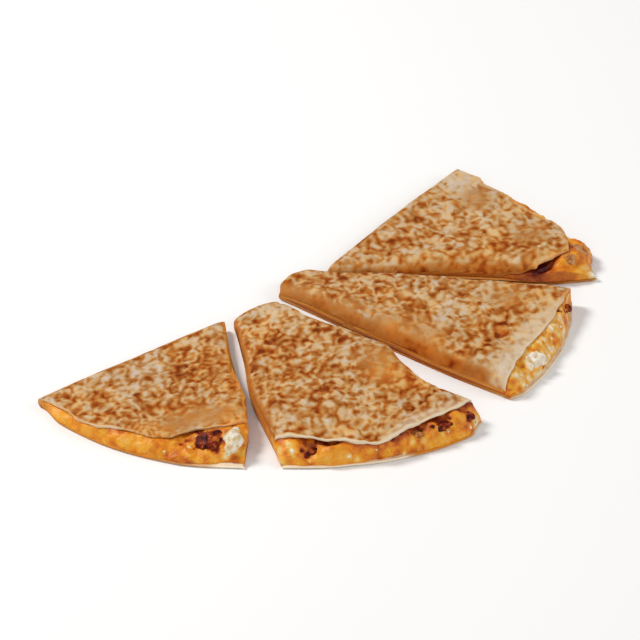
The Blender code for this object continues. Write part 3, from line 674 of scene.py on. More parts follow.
def filling_top(wedge, s, t):
    """Height of the filling's upper face at (s, t), under the sheet and out on the front bank."""
    edge = wedge.lip_place(t)
    thin = smooth(1.0 - (edge - s) * wedge.length(t) / LIP_TAPER)
    ceiling = wedge.top(np.minimum(s, edge), t) - SHEET + (SHEET - LIP_SHEET - LIP_GAP) * thin - SEAM
    x, y = wedge.plan(s, t)
    out = np.clip((s - edge) / np.maximum(filling_front(wedge, t) - edge, LEAST_BANK), 0.0, 1.0)
    bank = (1.0 - out ** (BANK_FULLNESS + BULGE_FULLNESS * bulge_at(wedge.angle(t)))) ** BANK_SLOPE
    bank = bank * (1.0 - FAR_DROP * by_angle(FAR_SIDE, wedge, t) * smooth(out / FAR_START))
    lumps = LUMP_HEIGHT * np.sin(LUMP_WAVES * arc_angle(x, np.minimum(y, -TINY))) * 4.0 * out * (1.0 - out)
    foot = FOOT_HEIGHT * (1.0 - out)
    height = FLOOR + foot + (ceiling - FLOOR - FOOT_HEIGHT) * bank + lumps
    height = height - HOLLOW_SHARE * spots(x, y, HOLLOWS)
    return np.minimum(np.maximum(height, FLOOR + foot), ceiling)


# ---------------------------------------------------------------------------------------- materials
def colour(web):
    """A linear colour from an sRGB one written as in a web page."""
    parts = [int(web[i:i + 2], 16) / 255.0 for i in (0, 2, 4)]
    return tuple(p / 12.92 if p <= 0.04045 else ((p + 0.055) / 1.055) ** 2.4 for p in parts) + (1.0,)


class Graph:
    """A material's nodes, with a short call for each kind."""

    def __init__(self, name):
        self.material = bpy.data.materials.new(name)
        self.material.use_nodes = True
        self.tree = self.material.node_tree

    def join(self, sockets, values):
        """Set sockets to fixed values, or link them to other nodes."""
        for key, value in values.items():
            if isinstance(value, (int, float, tuple)):
                sockets[key].default_value = value
            else:
                self.tree.links.new(value, sockets[key])

    def add(self, kind, values=None, **settings):
        made = self.tree.nodes.new("ShaderNode" + kind)
        for key, value in settings.items():
            setattr(made, key, value)
        self.join(made.inputs, values or {})
        return made

    def math(self, operation, *values, clamp=False):
        return self.add("Math", dict(enumerate(values)), operation=operation, use_clamp=clamp).outputs[0]

    def scaled(self, source, factor, offset):
        return self.math("MULTIPLY_ADD", source, factor, offset)

    def mottled(self, source, noise_output, amount):
        """A source with noise that is even about 0 added, kept within 0 and 1."""
        return self.math("ADD", source, self.scaled(noise_output, amount, -0.5 * amount), clamp=True)

    def noise(self, size, detail=3.0):
        """Noise in the object's own coordinates, with waves about size metres long."""
        place = self.add("TexCoord").outputs["Object"]
        values = {"Vector": place, "Scale": 1.0 / size, "Detail": detail, "Roughness": 0.55}
        return self.add("TexNoise", values).outputs["Fac"]

    def attribute(self, name):
        return self.add("Attribute", attribute_name=name).outputs["Fac"]

    def mix(self, share, a, b):
        return self.add("Mix", {0: share, 6: a, 7: b}, data_type="RGBA").outputs[2]

    def ramp(self, source, *stops):
        made = self.add("ValToRGB", {0: source})
        elements = made.color_ramp.elements
        while len(elements) < len(stops):
            elements.new(0.5)
        for element, (place, shade) in zip(elements, stops):
            element.position = place
            element.color = colour(shade)
        return made.outputs[0]

    def shift_hue(self, shade, factor, powers):
        """The colour with its red, green and blue parts multiplied by powers of a factor."""
        parts, whole = self.add("SeparateColor", {0: shade}), self.add("CombineColor")
        for i, power in enumerate(powers):
            change = self.math("POWER", factor, power)
            self.join(whole.inputs, {i: self.math("MULTIPLY", parts.outputs[i], change)})
        return whole.outputs[0]

    def finish(self, shade, roughness, shine, **more):
        values = {"Base Color": shade, "Roughness": roughness, "Specular IOR Level": shine, **more}
        self.join(self.tree.nodes["Principled BSDF"].inputs, values)
        return self.material

    def bump(self, height, distance):
        return self.add("Bump", {"Height": height, "Distance": distance}).outputs["Normal"]


def tortilla_material():
    graph = Graph("toasted_tortilla")
    fine, coarse = graph.noise(0.0009), graph.noise(0.0030)
    toast = graph.math("ADD", graph.attribute("toast"), graph.scaled(fine, 0.06, -0.03))
    shade = graph.ramp(graph.mottled(toast, coarse, 0.12),
                       (0.0, "DCC9AC"), (0.08, "CDB08D"), (0.17, "C7A57B"), (0.30, "C09766"),
                       (0.43, "BA8851"), (0.52, "B67F44"), (0.61, "B2773C"), (0.70, "AE6F33"),
                       (0.79, "A86427"), (0.88, "9D5416"), (0.96, "893C06"), (1.0, "6A2804"))
    shade = graph.mix(graph.attribute("warm"), shade, colour("AE6F33"))
    shade = graph.mix(graph.attribute("gold"), shade, colour("D68A2C"))
    specks = graph.math("ADD", graph.noise(0.0014, 2.0), 0.50)
    cool = graph.math("MULTIPLY", graph.attribute("cool"), specks)
    shade = graph.shift_hue(shade, cool, (-0.27, 0.09, 1.0))
    pale = graph.attribute("pale")
    pale = graph.math("MULTIPLY", graph.mottled(pale, coarse, 0.5), pale, clamp=True)
    # painted light: where the rim and the lining lie in shade, their pale is lightened towards a near-white
    # cream
    palest = graph.mix(graph.attribute("light"), colour("DCCAAC"), colour("FFEFD4"))
    return graph.finish(graph.mix(pale, shade, palest), graph.scaled(fine, 0.20, 0.52), 0.08,
                        Normal=graph.bump(fine, 0.00018))


def cheese_material():
    graph = Graph("melted_cheese")
    fine, coarse = graph.noise(0.0011), graph.noise(0.0034)
    tone = graph.math("ADD", graph.attribute("tone"), graph.scaled(fine, 0.24, -0.12))
    shade = graph.ramp(graph.mottled(tone, coarse, 0.14),
                       (0.0, "420705"), (0.14, "601409"), (0.30, "8A320C"), (0.44, "BC5C12"),
                       (0.56, "D87E19"), (0.68, "E49A24"), (0.80, "E4B660"), (0.90, "E9D0A6"),
                       (1.0, "F4EADA"))
    shade = graph.shift_hue(shade, graph.scaled(graph.noise(0.0042, 2.0), 0.40, 0.80), (0.0, 1.0, 0.5))
    crust = graph.attribute("crust")
    rough = graph.scaled(crust, 0.50, graph.scaled(coarse, 0.30, 0.22))
    return graph.finish(graph.mix(crust, shade, colour("B0682A")), rough, 0.26,
                        Normal=graph.bump(fine, 0.00030))


def meat_material(name, roughness, *stops):
    graph = Graph(name)
    fine = graph.noise(0.0024)
    return graph.finish(graph.ramp(fine, *stops), graph.scaled(fine, 0.3, roughness - 0.15), 0.15,
                        Normal=graph.bump(fine, 0.0004))


# ------------------------------------------------------------------------------- the tortilla wedges
ROWS = 190
TOP_COUNT = 250
FOLD_COUNT = 16
BOTTOM_COUNT = 30
LIP_COUNT = 6
INNER_ROWS = 90
INNER_TOP = 50
INNER_BEND = 6
INNER_FLOOR = 60
CUT_ROUND = 0.0006
RIM_ROUND = 0.0004
LIP_ROUND = 0.00045
RIM_BAND = 0.003
TAN_STOP = 0.006
WAVE_HEIGHT, WAVE_SIZE = 0.0004, 0.021

# The browning: its stretched and warped grain, its layers of noise and those of its orange tint, and pale
# veins on raised ridges, partly a painted highlight.
GRAIN_LENGTH = 1.45
GRAIN_WARP, GRAIN_WARP_SIZE = 0.0009, 0.0045
SPECKLES = ((0.40, 0.0052, 11), (0.90, 0.0025, 12), (0.26, 0.0014, 15))
BLUSHES = ((0.5, 0.014, 41), (0.8, 0.005, 42))
VEINS_AND_HIGHLIGHTS = ((1.0, 0.0042, 14), (0.7, 0.0025, 16))
VEIN_SHARPNESS = 7
VEIN_HEIGHT = 0.00012
TOAST_STEEPNESS = 1.9

# Colour of the cut edges: kind and width of the band, by wedge and side (0 left, 1 right). The gold bands on
# the right cuts are partly a painted highlight on those edges.
EDGES = {("a", 1): ("gold", 0.0014), ("b", 0): ("tan", 0.0016), ("b", 1): ("gold", 0.0012),
         ("c", 0): ("tan", 0.0034), ("c", 1): ("gold", 0.0007), ("d", 0): ("ember", 0.0018)}

# More browning everywhere, and how strong the mottling is, by wedge.
LEVELS = {"a": (-0.04, 0.88), "b": (-0.05, 0.95), "c": (-0.14, 0.92), "d": (-0.28, 0.86)}

# The bands along the cuts, the even tan and its layers of noise, and how high the darker foot reaches on the
# cut.
TAN_BAND, GOLD_AND_HIGHLIGHT_BAND, EMBER_BAND = 0.95, 0.75, 0.30
EVEN_TAN, EVEN_SHARE = 0.44, 0.85
TAN_MOTTLES = ((0.16, 0.005, 31), (0.10, 0.0024, 39))
FOOT_DARK_HEIGHT, FOOT_DARK_FADE = 0.0024, 0.0014

# The lip: its pale line, partly a painted highlight on the edge, the paler band behind it, the zone with no
# browning and the golden edge.
LIP_LINE_AND_HIGHLIGHT, LIP_HIGHLIGHT_FADE = 0.0009, 0.0007
PALE_BAND = 0.62
RIM_ZONE, RIM_ZONE_FADE = 0.0020, 0.0009
GOLD_ZONE, GOLD_FADE = 0.0018, 0.0010

# The small bumps of the outer face, and the browned edge of the lining.
BUMPS, BUMP_SIZE = 0.0002, 0.0062
LIP_BUMPS, LIP_BUMP_SIZE = 0.0003, 0.009
BROWNED_EDGE = 0.0012


def dense_rows(count):
    """Values of t from cut to cut, with a few rows close to each cut."""
    near = np.array((0.0, 0.0006, 0.0016, 0.0032, 0.0055, 0.009))
    return np.concatenate((near, np.linspace(0.0135, 1.0 - 0.0135, count - 2 * len(near)), 1.0 - near[::-1]))


def line_distance(x, y, points):
    """Distance from a line through points given as (angle, distance from the centre)."""
    best = np.full(np.shape(x), 1.0)
    corners = [arc_point(*point) for point in points]
    for (ax, ay), (bx, by) in zip(corners[:-1], corners[1:]):
        span = (bx - ax) ** 2 + (by - ay) ** 2
        share = np.clip(((x - ax) * (bx - ax) + (y - ay) * (by - ay)) / span, 0.0, 1.0)
        best = np.minimum(best, np.hypot(x - ax - share * (bx - ax), y - ay - share * (by - ay)))
    return best


def sheet_waves(x, y):
    """Gentle unevenness of the top sheet."""
    return WAVE_HEIGHT * cloud(flat_points(x, y), WAVE_SIZE, 21, 2)


def browning(wedge, x, y, z, side):
    """How toasted the sheet is, its relief, how smooth and how orange it is, in the uncut half-moon."""
    deep, wide = (x + y) * math.sqrt(0.5), (x - y) * math.sqrt(0.5)
    flat = flat_points(deep / GRAIN_LENGTH, wide, z + 0.05 * side)
    warp = flat_points(*(noise(flat, GRAIN_WARP_SIZE, seed) for seed in (5, 6)))
    place = flat + GRAIN_WARP * warp
    zone = patches(x, y, TOASTED[wedge.name]) + 0.15 * noise(flat, 0.026, 13)
    tint = patches(x, y, TINTED[wedge.name]) + layers(flat, BLUSHES) + 0.8 * noise(place, 0.0024, 43)
    level = (layers(place, SPECKLES) / 0.42 + 0.8 * zone) / 1.05
    veins_and_highlights = sum(share * (1.0 - np.abs(noise(place, size, seed))) ** VEIN_SHARPNESS
                for share, size, seed in VEINS_AND_HIGHLIGHTS)
    veins_and_highlights = np.clip(veins_and_highlights, 0.0, 1.2) * smooth((noise(flat, 0.011, 17) + 0.35) / 0.6)
    bias, contrast = LEVELS[wedge.name]
    # the veins make the sheet paler: partly pale grain, partly a painted highlight on the ridges
    level_shown = contrast * (level - 1.2 * veins_and_highlights) + 0.28 + bias
    toast = 0.06 + 0.94 / (1.0 + np.exp(-TOAST_STEEPNESS * level_shown))
    relief = VEIN_HEIGHT * (veins_and_highlights - 0.4 * smooth(level))
    for points, height, width, change in CREASES[wedge.name]:
        away = line_distance(x, y, points) / width
        # painted highlight along raised creases and painted shade along sunken ones
        toast = toast + change * np.exp(-away ** 2) * (0.8 + 0.5 * noise(place, 0.004, 18))
        relief = relief + height * np.exp(-(away / 1.5) ** 2)
    even = np.clip(patches(x, y, SMOOTH[wedge.name]) * (1.0 + 0.35 * noise(flat, 0.0045, 19)), 0.0, 1.0)
    return toast, relief, even, tint


def outer_shape(wedge, t, lip):
    """The outer face's s, height and share of top sheet: rim, bottom, round fold, top and round lip."""
    length = wedge.length(t)
    fold = wedge.fold_round(t)
    down = np.linspace(0.0, 1.0, BOTTOM_COUNT)[:, None] ** 1.5
    bottom_s = (1.0 - RIM_ROUND / length) * (1.0 - down) + fold / length * down
    bottom_z = RIM_LIFT * smooth(1.0 - (1.0 - bottom_s) * length / 0.0025)
    turn = np.linspace(-0.5 * math.pi, 0.5 * math.pi, FOLD_COUNT + 2)[1:-1, None]
    fold_s = (fold - fold * np.cos(turn)) / length
    up = np.linspace(0.0, 1.0, TOP_COUNT)[:, None]
    end_s = lip - LIP_ROUND / length
    top_s = fold / length * (1.0 - up) + end_s * up
    round_lip = np.linspace(0.5 * math.pi, -0.5 * math.pi, LIP_COUNT)[1:, None]
    lip_s = end_s + LIP_ROUND / length * np.cos(round_lip)
    lip_z = wedge.top(end_s, t) - LIP_SHEET / 2.0 * (1.0 - np.sin(round_lip))
    rim_s = np.ones_like(length)
    rim_z = RIM_LIFT + RIM_SHEET * np.array((0.80, 0.20))[:, None] * rim_s
    s = np.concatenate((rim_s, rim_s, bottom_s, fold_s, top_s, lip_s))
    z = np.concatenate((rim_z, bottom_z, fold + fold * np.sin(turn), wedge.top(top_s, t), lip_z))
    upper = np.zeros_like(z)
    first_top = 2 + BOTTOM_COUNT + FOLD_COUNT // 2
    upper[first_top:first_top + FOLD_COUNT] = np.linspace(0.0, 1.0, FOLD_COUNT)[:, None]
    upper[first_top + FOLD_COUNT:] = 1.0
    return s, z, upper


def relieved(points, from_cut, offset):
    """The outer face moved out by an offset, with the edges of the rolled cuts rounded."""
    normal = -grid_normals(points)
    if normal[1 + BOTTOM_COUNT + FOLD_COUNT + TOP_COUNT // 2, ROWS // 2, 2] < 0.0:
        normal = -normal
    depth = CUT_ROUND - np.clip(from_cut, 0.0, CUT_ROUND)
    rounding = CUT_ROUND - np.sqrt(np.maximum(CUT_ROUND ** 2 - depth ** 2, 0.0))
    points = points + normal * (offset - rounding * np.abs(normal[..., 2]) ** 2)[..., None]
    points[..., 2] = np.maximum(points[..., 2], 0.0)
    return points


def outer_looks(wedge, t, s, upper, around, from_lip, browned):
    """The outer face's colours: browned sheet, rolled cuts in tan or gold, pale lip and greasy rim."""
    toast, even, tint = browned
    from_left, from_right, _ = wedge.cut_distances(s, t)
    tan_band, gold, foot, warm_foot = (np.zeros_like(upper) for _ in range(4))
    for side, distance in enumerate((from_left, from_right)):
        if (wedge.name, side) not in EDGES:
            continue
        kind, width = EDGES[wedge.name, side]
        band = smooth((width * (1.0 + 0.30 * noise(around, 0.005, 32)) - distance) / (0.5 * width + TINY))
        if kind == "tan":
            tan_band = TAN_BAND * band
            foot = smooth(1.0 - distance / width)
            tint = tint + 0.8 * band
        elif kind == "ember":
            tint = tint + band
            warm_foot = EMBER_BAND * band
        else:
            # gold band: greasy gold, partly a painted highlight on the cut edge
            gold = np.maximum(gold, GOLD_AND_HIGHLIGHT_BAND * band)
    even = np.maximum(even, tan_band * smooth((from_lip - TAN_STOP) / TAN_STOP))

    # The lip: a pale line at its edge, partly a painted highlight, a paler band behind it, and gold in
    # places.
    strong, width = (along_stations(stations, wedge.angle(t)) for stations in PALE_LIP[wedge.name])
    width = 0.001 * width * (1.0 + 0.45 * noise(around, 0.005, 35))
    line = LIP_LINE_AND_HIGHLIGHT * (1.0 + 0.5 * noise(around, 0.004, 36))
    near_lip = np.abs(from_lip)
    pale = np.maximum(smooth((line + 0.0005 - near_lip) / LIP_HIGHLIGHT_FADE),
                      PALE_BAND * smooth((width - near_lip) / (0.5 * width + 0.0004))) * strong * upper
    rim_zone = RIM_ZONE + 0.0007 * noise(around, 0.006, 33) - near_lip
    rim_zone = smooth(rim_zone / RIM_ZONE_FADE) * upper * strong
    gold = np.maximum(gold, by_angle(GOLD_LIP, wedge, t) * smooth((GOLD_ZONE - near_lip) / GOLD_FADE) * upper)

    # Even tan, and darker red along the foot of a cut.
    tanned = EVEN_TAN + 0.24 * foot + layers(around, TAN_MOTTLES)
    toast = toast * (1.0 - EVEN_SHARE * even) + tanned * EVEN_SHARE * even
    toast = toast * (1.0 - 0.9 * rim_zone) + 0.02 * rim_zone
    foot_dark = patches(around[..., 0], around[..., 1], FOOT_DARKENING.get(wedge.name, ()))
    foot_dark = foot_dark * smooth((FOOT_DARK_HEIGHT - from_left) / FOOT_DARK_FADE) * (1.0 + 0.5 * noise(around, 0.003, 37))
    foot_dark = np.clip(foot_dark, 0.0, 1.0)
    toast = toast + (1.0 - toast) * 0.95 * foot_dark
    warm = np.maximum(0.40 * even * (1.0 - rim_zone), warm_foot) * (1.0 - foot_dark)

    # The bottom sheet's rim: greasy and golden, or pale.
    grease = by_angle(RIM_GREASE, wedge, t)
    low = smooth(1.0 - np.abs(1.0 - s) * wedge.length(t) / RIM_BAND) * (1.0 - upper)
    warm = np.maximum(warm, 0.35 * grease * low)
    toast = toast * (1.0 - low) + (0.06 + 0.42 * grease) * low
    gold = np.maximum(gold * (0.3 + 0.7 * upper), 0.9 * grease * low)
    pale = np.maximum(pale, (1.0 - grease) * low)
    warm, gold, pale = (np.clip(value, 0.0, 1.0) for value in (warm, gold, pale))
    # the pale rim band of the bottom sheet is lightened by painted light
    return dict(toast=np.clip(toast, 0.07, 1.0), warm=warm, gold=gold, pale=pale, light=low,
                cool=10.0 ** (-0.12 * np.clip(tint, -0.9, 3.0)))


def add_lining(wedge, builder):
    """The inner face, from under the lip round the fold to the bottom sheet's rim; returns its grid."""
    t = np.linspace(0.0, 1.0, INNER_ROWS)[None, :]
    length = wedge.length(t)
    fold = wedge.fold_round(t)
    end = lip_edge(wedge, t) - LIP_ROUND / length
    back = np.linspace(0.0, 1.0, INNER_TOP)[:, None] ** 1.6
    under_s = end * (1.0 - back) + fold / length * back
    bend = np.linspace(0.5 * math.pi, -0.5 * math.pi, INNER_BEND + 2)[1:-1, None]
    inside = fold - SHEET
    forth = 1.0 - np.linspace(1.0, 0.0, INNER_FLOOR)[:, None] ** 1.8
    floor_s = fold / length * (1.0 - forth) + (1.0 - RIM_ROUND / length) * forth
    s = np.concatenate((under_s, (fold - inside * np.cos(bend)) / length, floor_s))
    x, y = wedge.plan(s, t)
    thick = SHEET - (SHEET - LIP_SHEET) * smooth(1.0 - (end - under_s) * length / LIP_TAPER)
    under_z = wedge.top(under_s, t) - thick + sheet_waves(x, y)[:INNER_TOP]
    floor_z = SHEET - (SHEET - RIM_LIFT - RIM_SHEET) * smooth(1.0 - (1.0 - floor_s) * length / RIM_BAND)
    z = np.concatenate((under_z, fold + inside * np.sin(bend), floor_z))
    flat = flat_points(x, y)
    grease = np.clip(by_angle(RIM_GREASE, wedge, t) + 0.25 * noise(flat, 0.004, 34), 0.0, 1.0)
    from_left, from_right, _ = wedge.cut_distances(s, t)
    browned = smooth(1.0 - np.minimum(from_left, from_right) / BROWNED_EDGE)
    browned = browned * (1.0 + 0.5 * noise(flat, 0.004, 38))
    # the lining's pale is fully lightened by painted light
    lining = builder.grid(flat_points(*wedge.placed(x, y), z),
                          toast=np.maximum(0.06 + 0.30 * grease, 0.62 * browned),
                          warm=np.maximum(0.3 * grease, 0.4 * browned), gold=0.14 + 0.75 * grease,
                          pale=0.7 * np.clip(1.0 - grease - browned, 0.0, 1.0), cool=1.0, light=1.0)
    builder.cover(lining)
    return lining


def tortilla(name, finish):
    """One wedge's tortilla: the outer face, the lining and the narrow faces that join them."""
    wedge = Wedge(name)
    builder = Builder()
    t = dense_rows(ROWS)[None, :]
    lip = lip_edge(wedge, t)
    s, z, upper = outer_shape(wedge, t, lip)
    x, y = wedge.plan(s, t)
    around = flat_points(x, y, z)
    from_lip = (lip - s) * wedge.length(t)
    toast, relief, even, tint = browning(wedge, x, y, z, np.round(upper))
    bumps = BUMPS * noise(around, BUMP_SIZE, 22) * (1.0 - 0.5 * even)
    near_lip = smooth((0.007 - np.abs(from_lip)) / 0.005)
    bumps = bumps + LIP_BUMPS * noise(around, LIP_BUMP_SIZE, 24) * near_lip
    offset = (sheet_waves(x, y) + bumps + relief * (1.0 - even)) * (0.10 + 0.90 * upper)
    from_left, from_right, _ = wedge.cut_distances(s, t)
    from_cut = np.minimum(from_left if wedge.left else 1.0, from_right if wedge.right else 1.0)
    outer = relieved(flat_points(*wedge.placed(x, y), z), from_cut, offset)
    looks = outer_looks(wedge, t, s, upper, around, from_lip, (toast, even, tint))
    shell = builder.grid(outer, **looks)
    builder.cover(shell)
    lining = add_lining(wedge, builder)
    builder.zip_lines(shell[-1], lining[0])
    builder.zip_lines(lining[-1], shell[0])
    builder.zip_lines(shell[:, 0], lining[::-1, 0], flip=True)
    builder.zip_lines(shell[:, -1], lining[::-1, -1])
    return builder.finish("tortilla_looks_" + name, finish, "tortilla", "tortilla_" + name)


# --------------------------------------------------------------------------------- the filling wedges
FILL_ROWS = 220
UNDER_COUNT = 22
BANK_COUNT = 64
WALL_COUNT = 10
FOOT_DIP = 0.0005
LEAST_FRONT = 0.0006
LIP_REACH = 0.003
THIN_FILLING = 0.002
THIN_WALL = 0.003
WALL_SWELL = 0.0006
WALL_MOTTLE = 0.10
WALL_GRAIN = 0.005
FILLING_LUMPS = ((0.0006, 0.0060, 51), (0.0003, 0.0022, 52))
LIP_SHADE_REACH = 0.0026
FAR_TONE = 0.08
FAR_FROM, FAR_FADE = 0.0015, 0.0020

# How far a feature reaches, how its outline is warped, and how it counts against the plain filling.
FEATURE_REACH = 0.0011
WARP, WARP_SIZE, WARP_SEEDS = 0.0006, 0.0022, (91, 92, 93)
FEATURE_WEIGHT, PLAIN_WEIGHT = 3.0, 0.4

# The plain filling's shade and how much it varies. Wedge c's paler shade is partly painted light on its front
# bank.
BASE_TONES = {"a": 0.60, "b": 0.57, "c": 0.74, "d": 0.58}
MOTTLES = {"a": 0.18, "b": 0.18, "c": 0.24, "d": 0.18}

# The cut side that shows the filling near the rim, from a share of its length on.
BARE_END = ("b", 0)
BARE_FROM, BARE_FADE = 0.84, 0.06

# Painted shade: how much darker the filling is next to the lip, where the lip shades it, by angle.
LIP_SHADE = {"a": ((0, 0.0), (40, 0.08)), "b": ((47, 0.10), (60, 0.12), (64, 0.22), (90, 0.22)),
             "c": ((91, 0.04), (131, 0.04)), "d": ((131, 0.34), (137, 0.25), (141, 0.04))}

# How smooth and even the filling is, by angle, and what that takes off its lumps and its mottling.
CALM_LUMPS, CALM_MOTTLE = 0.6, 0.8
CALM = {"a": ((0, 1.0), (17, 1.0), (22, 0.3), (40, 0.0)), "b": ((53, 0.2), (57, 0.8), (61, 0.5), (66, 0.1))}


def feature_place(wedge, angle, inward, height):
    """A feature's point in the uncut half-moon."""
    x, y = arc_point(angle, RADIUS + float(along_stations(wedge.rim, angle)) - inward * 0.001)
    return x, y, height * 0.001


def features(wedge, points):
    """Weight, shade and lift of the named features at points of the uncut half-moon."""
    warp = np.stack([WARP * noise(points, WARP_SIZE, seed) for seed in WARP_SEEDS], axis=-1)
    total, shade, lift = 0.0, 0.0, 0.0
    for kind, places in FILLING_FEATURES[wedge.name].items():
        for angle, inward, height, reach in places:
            away = points + warp - np.array(feature_place(wedge, angle, inward, height))
            weight = np.exp(-np.sum(away ** 2, axis=-1) / (reach * FEATURE_REACH) ** 2)
            total = total + weight
            shade = shade + weight * KINDS[kind]
            lift = lift + weight * LIFTS[kind]
    return total, shade, lift


def blend_tone(wedge, points, base):
    """The filling's shade where its features lie over a plain shade."""
    total, shade, _ = features(wedge, points)
    mixed = FEATURE_WEIGHT * shade + PLAIN_WEIGHT * base
    return np.clip(mixed / (FEATURE_WEIGHT * total + PLAIN_WEIGHT), 0.0, 1.0)


def cut_wall(wedge, side, s, around, moved):
    """The filling's face at a cut, from below its skin's edge to the bottom sheet, and its looks."""
    column, beside = ((0, 1), (-1, -2))[side]
    line = moved[:, column]
    away = (line - moved[:, beside])[:, :2]
    away = away / np.maximum(np.linalg.norm(away, axis=1, keepdims=True), 1e-12)
    level = np.linspace(1.0, 0.0, WALL_COUNT)[1:, None]
    wall = np.empty((WALL_COUNT - 1, len(line), 3))
    wall[..., :2] = line[:, :2]
    wall[..., 2] = FLOOR + (line[:, 2] - FLOOR) * level
    flat = flat_points(around[:, column, 0], around[:, column, 1], wall[..., 2])
    thin = np.clip((line[:, 2] - FLOOR) / THIN_WALL, 0.0, 1.0)
    swell = WALL_SWELL * (0.5 + cloud(flat, WALL_GRAIN, 61, 2)) * np.sin(math.pi * level) * thin
    wall[..., :2] += away[None] * swell[..., None]
    foot, head = WALL_TONES.get((wedge.name, side), PLAIN_WALL)
    base = foot + (head - foot) * level + WALL_MOTTLE * cloud(flat, WALL_GRAIN, 62, 2)
    bare = 1.0 - smooth(features(wedge, flat)[0])
    crust = CRUSTS.get((wedge.name, side), 0.0) * smooth(level / 0.5) * bare
    if (wedge.name, side) == BARE_END:
        crust = crust * (1.0 - smooth((s[:, column] - BARE_FROM) / BARE_FADE))
    return wall, dict(tone=blend_tone(wedge, flat, base), crust=crust)


def cheese(name, finish):
    """One wedge's filling; returns its skin's points in the half-moon and in the frame, and normals."""
    wedge = Wedge(name)
    start, end = wedge.filled
    t = (start + (end - start) * dense_rows(FILL_ROWS))[None, :]
    length = wedge.length(t)
    lip = lip_edge(wedge, t)
    first = wedge.fold_round(t) / length
    front = np.maximum(filling_front(wedge, t), lip + LEAST_FRONT / length)
    under = np.linspace(0.0, 1.0, UNDER_COUNT)[:-1, None]
    bank = np.sin(np.linspace(0.0, 0.5 * math.pi, BANK_COUNT))[:, None]
    back = lip - LIP_REACH / length
    s = np.concatenate((first + (back - first) * under, back * (1.0 - bank) + front * bank))
    x, y = wedge.plan(s, t)
    z = filling_top(wedge, s, t)
    z[-1] = FLOOR
    past_lip = (s - lip) * length
    out = smooth(past_lip / LIP_REACH + 0.5)
    z = z + sheet_waves(x, y) * (1.0 - out) * smooth((z - SHEET) / THIN_FILLING)
    top = flat_points(*wedge.placed(x, y), z)
    normal = grid_normals(top)
    normal[normal[..., 2] < 0.0] *= -1.0

    # Lumps and features; the skin's last row dips into the bottom sheet.
    around = flat_points(x, y, z)
    calm = by_angle(CALM, wedge, t)
    lumps = sum(height * cloud(around, size, seed, 2) for height, size, seed in FILLING_LUMPS)
    fade = np.minimum(out, smooth(np.linspace(1.0, 0.0, len(s)) / 0.02)[:, None])
    lift = (lumps * (1.0 - CALM_LUMPS * calm) + features(wedge, around)[2]) * fade
    moved = top + normal * lift[..., None]
    moved[..., 2] = np.maximum(moved[..., 2], FLOOR)
    moved[-1, :, 2] = SHEET - FOOT_DIP
    mottle = 0.10 * cloud(around, 0.008, 53, 2) + MOTTLES[name] * noise(around, 0.0034, 54)
    base = BASE_TONES[name] + mottle * (1.0 - CALM_MOTTLE * calm)
    # painted shade on the filling just past the lip
    base = base - by_angle(LIP_SHADE, wedge, t) * (1.0 - smooth(past_lip / LIP_SHADE_REACH))
    base = base + FAR_TONE * by_angle(FAR_SIDE, wedge, t) * smooth((past_lip - FAR_FROM) / FAR_FADE)

    builder = Builder()
    skin = builder.grid(moved, tone=blend_tone(wedge, around, base), crust=0.0)
    builder.cover(skin)
    feet = []
    for side, column in enumerate((0, -1)):
        wall, looks = cut_wall(wedge, side, s, around, moved)
        face = builder.grid(wall, **looks)
        builder.cover(np.concatenate((skin[:, column][None], face)), flip=side == 0)
        feet.append(face[-1])
    rim = np.concatenate((feet[0], skin[-1, 1:-1], feet[1][::-1], skin[0, 1:-1][::-1]))
    builder.faces.append([int(i) for i in rim[::-1]])
    builder.finish("cheese_looks_" + name, finish, "cheese", "cheese_" + name)
    return around.reshape(-1, 3), moved.reshape(-1, 3), normal.reshape(-1, 3)


# ------------------------------------------------------------------------------------ pieces of filling
# Pieces whose torn surface reaches further out than in the CAD model.
GROWTH = {"chicken_a_dark": 1.30, "chicken_a_pale": 1.25}
# How deep a wedge's pieces lie in the filling, as a share of their smallest half size.
SINKS = {"a": 0.15, "b": 0.30, "c": 0.15, "d": 0.45}
BROWNED = ("chicken_b_middle", "chicken_d_front", "chicken_d_side")
TORN_DEPTH, TORN_SIZE = 0.0007, 0.0026
# How long the fibres of a piece are: its grain is stretched along its second axis.
FIBRES = (1.0, 0.4, 1.0)
BIT_FLATNESS = 0.6
BIT_SPREAD = 0.25
BIT_LUMPS = 0.30
BIT_SINK = 0.15


def ball_mesh(fineness):
    ball = bmesh.new()
    bmesh.ops.create_icosphere(ball, subdivisions=fineness, radius=1.0)
    points = np.array([v.co for v in ball.verts])
    faces = [[v.index for v in f.verts] for f in ball.faces]
    ball.free()
    return points, faces


def nearest(skin, place, column):
    """Index of the point of the skin nearest to a place; column 0 is the half-moon, 1 the frame."""
    return int(np.argmin(np.sum((skin[column] - np.array(place)) ** 2, axis=1)))


def turned(place, middle, *axes):
    """Points of a piece in the frame, from its middle and its three axes."""
    return middle + sum(place[:, i:i + 1] * axis for i, axis in enumerate(axes))


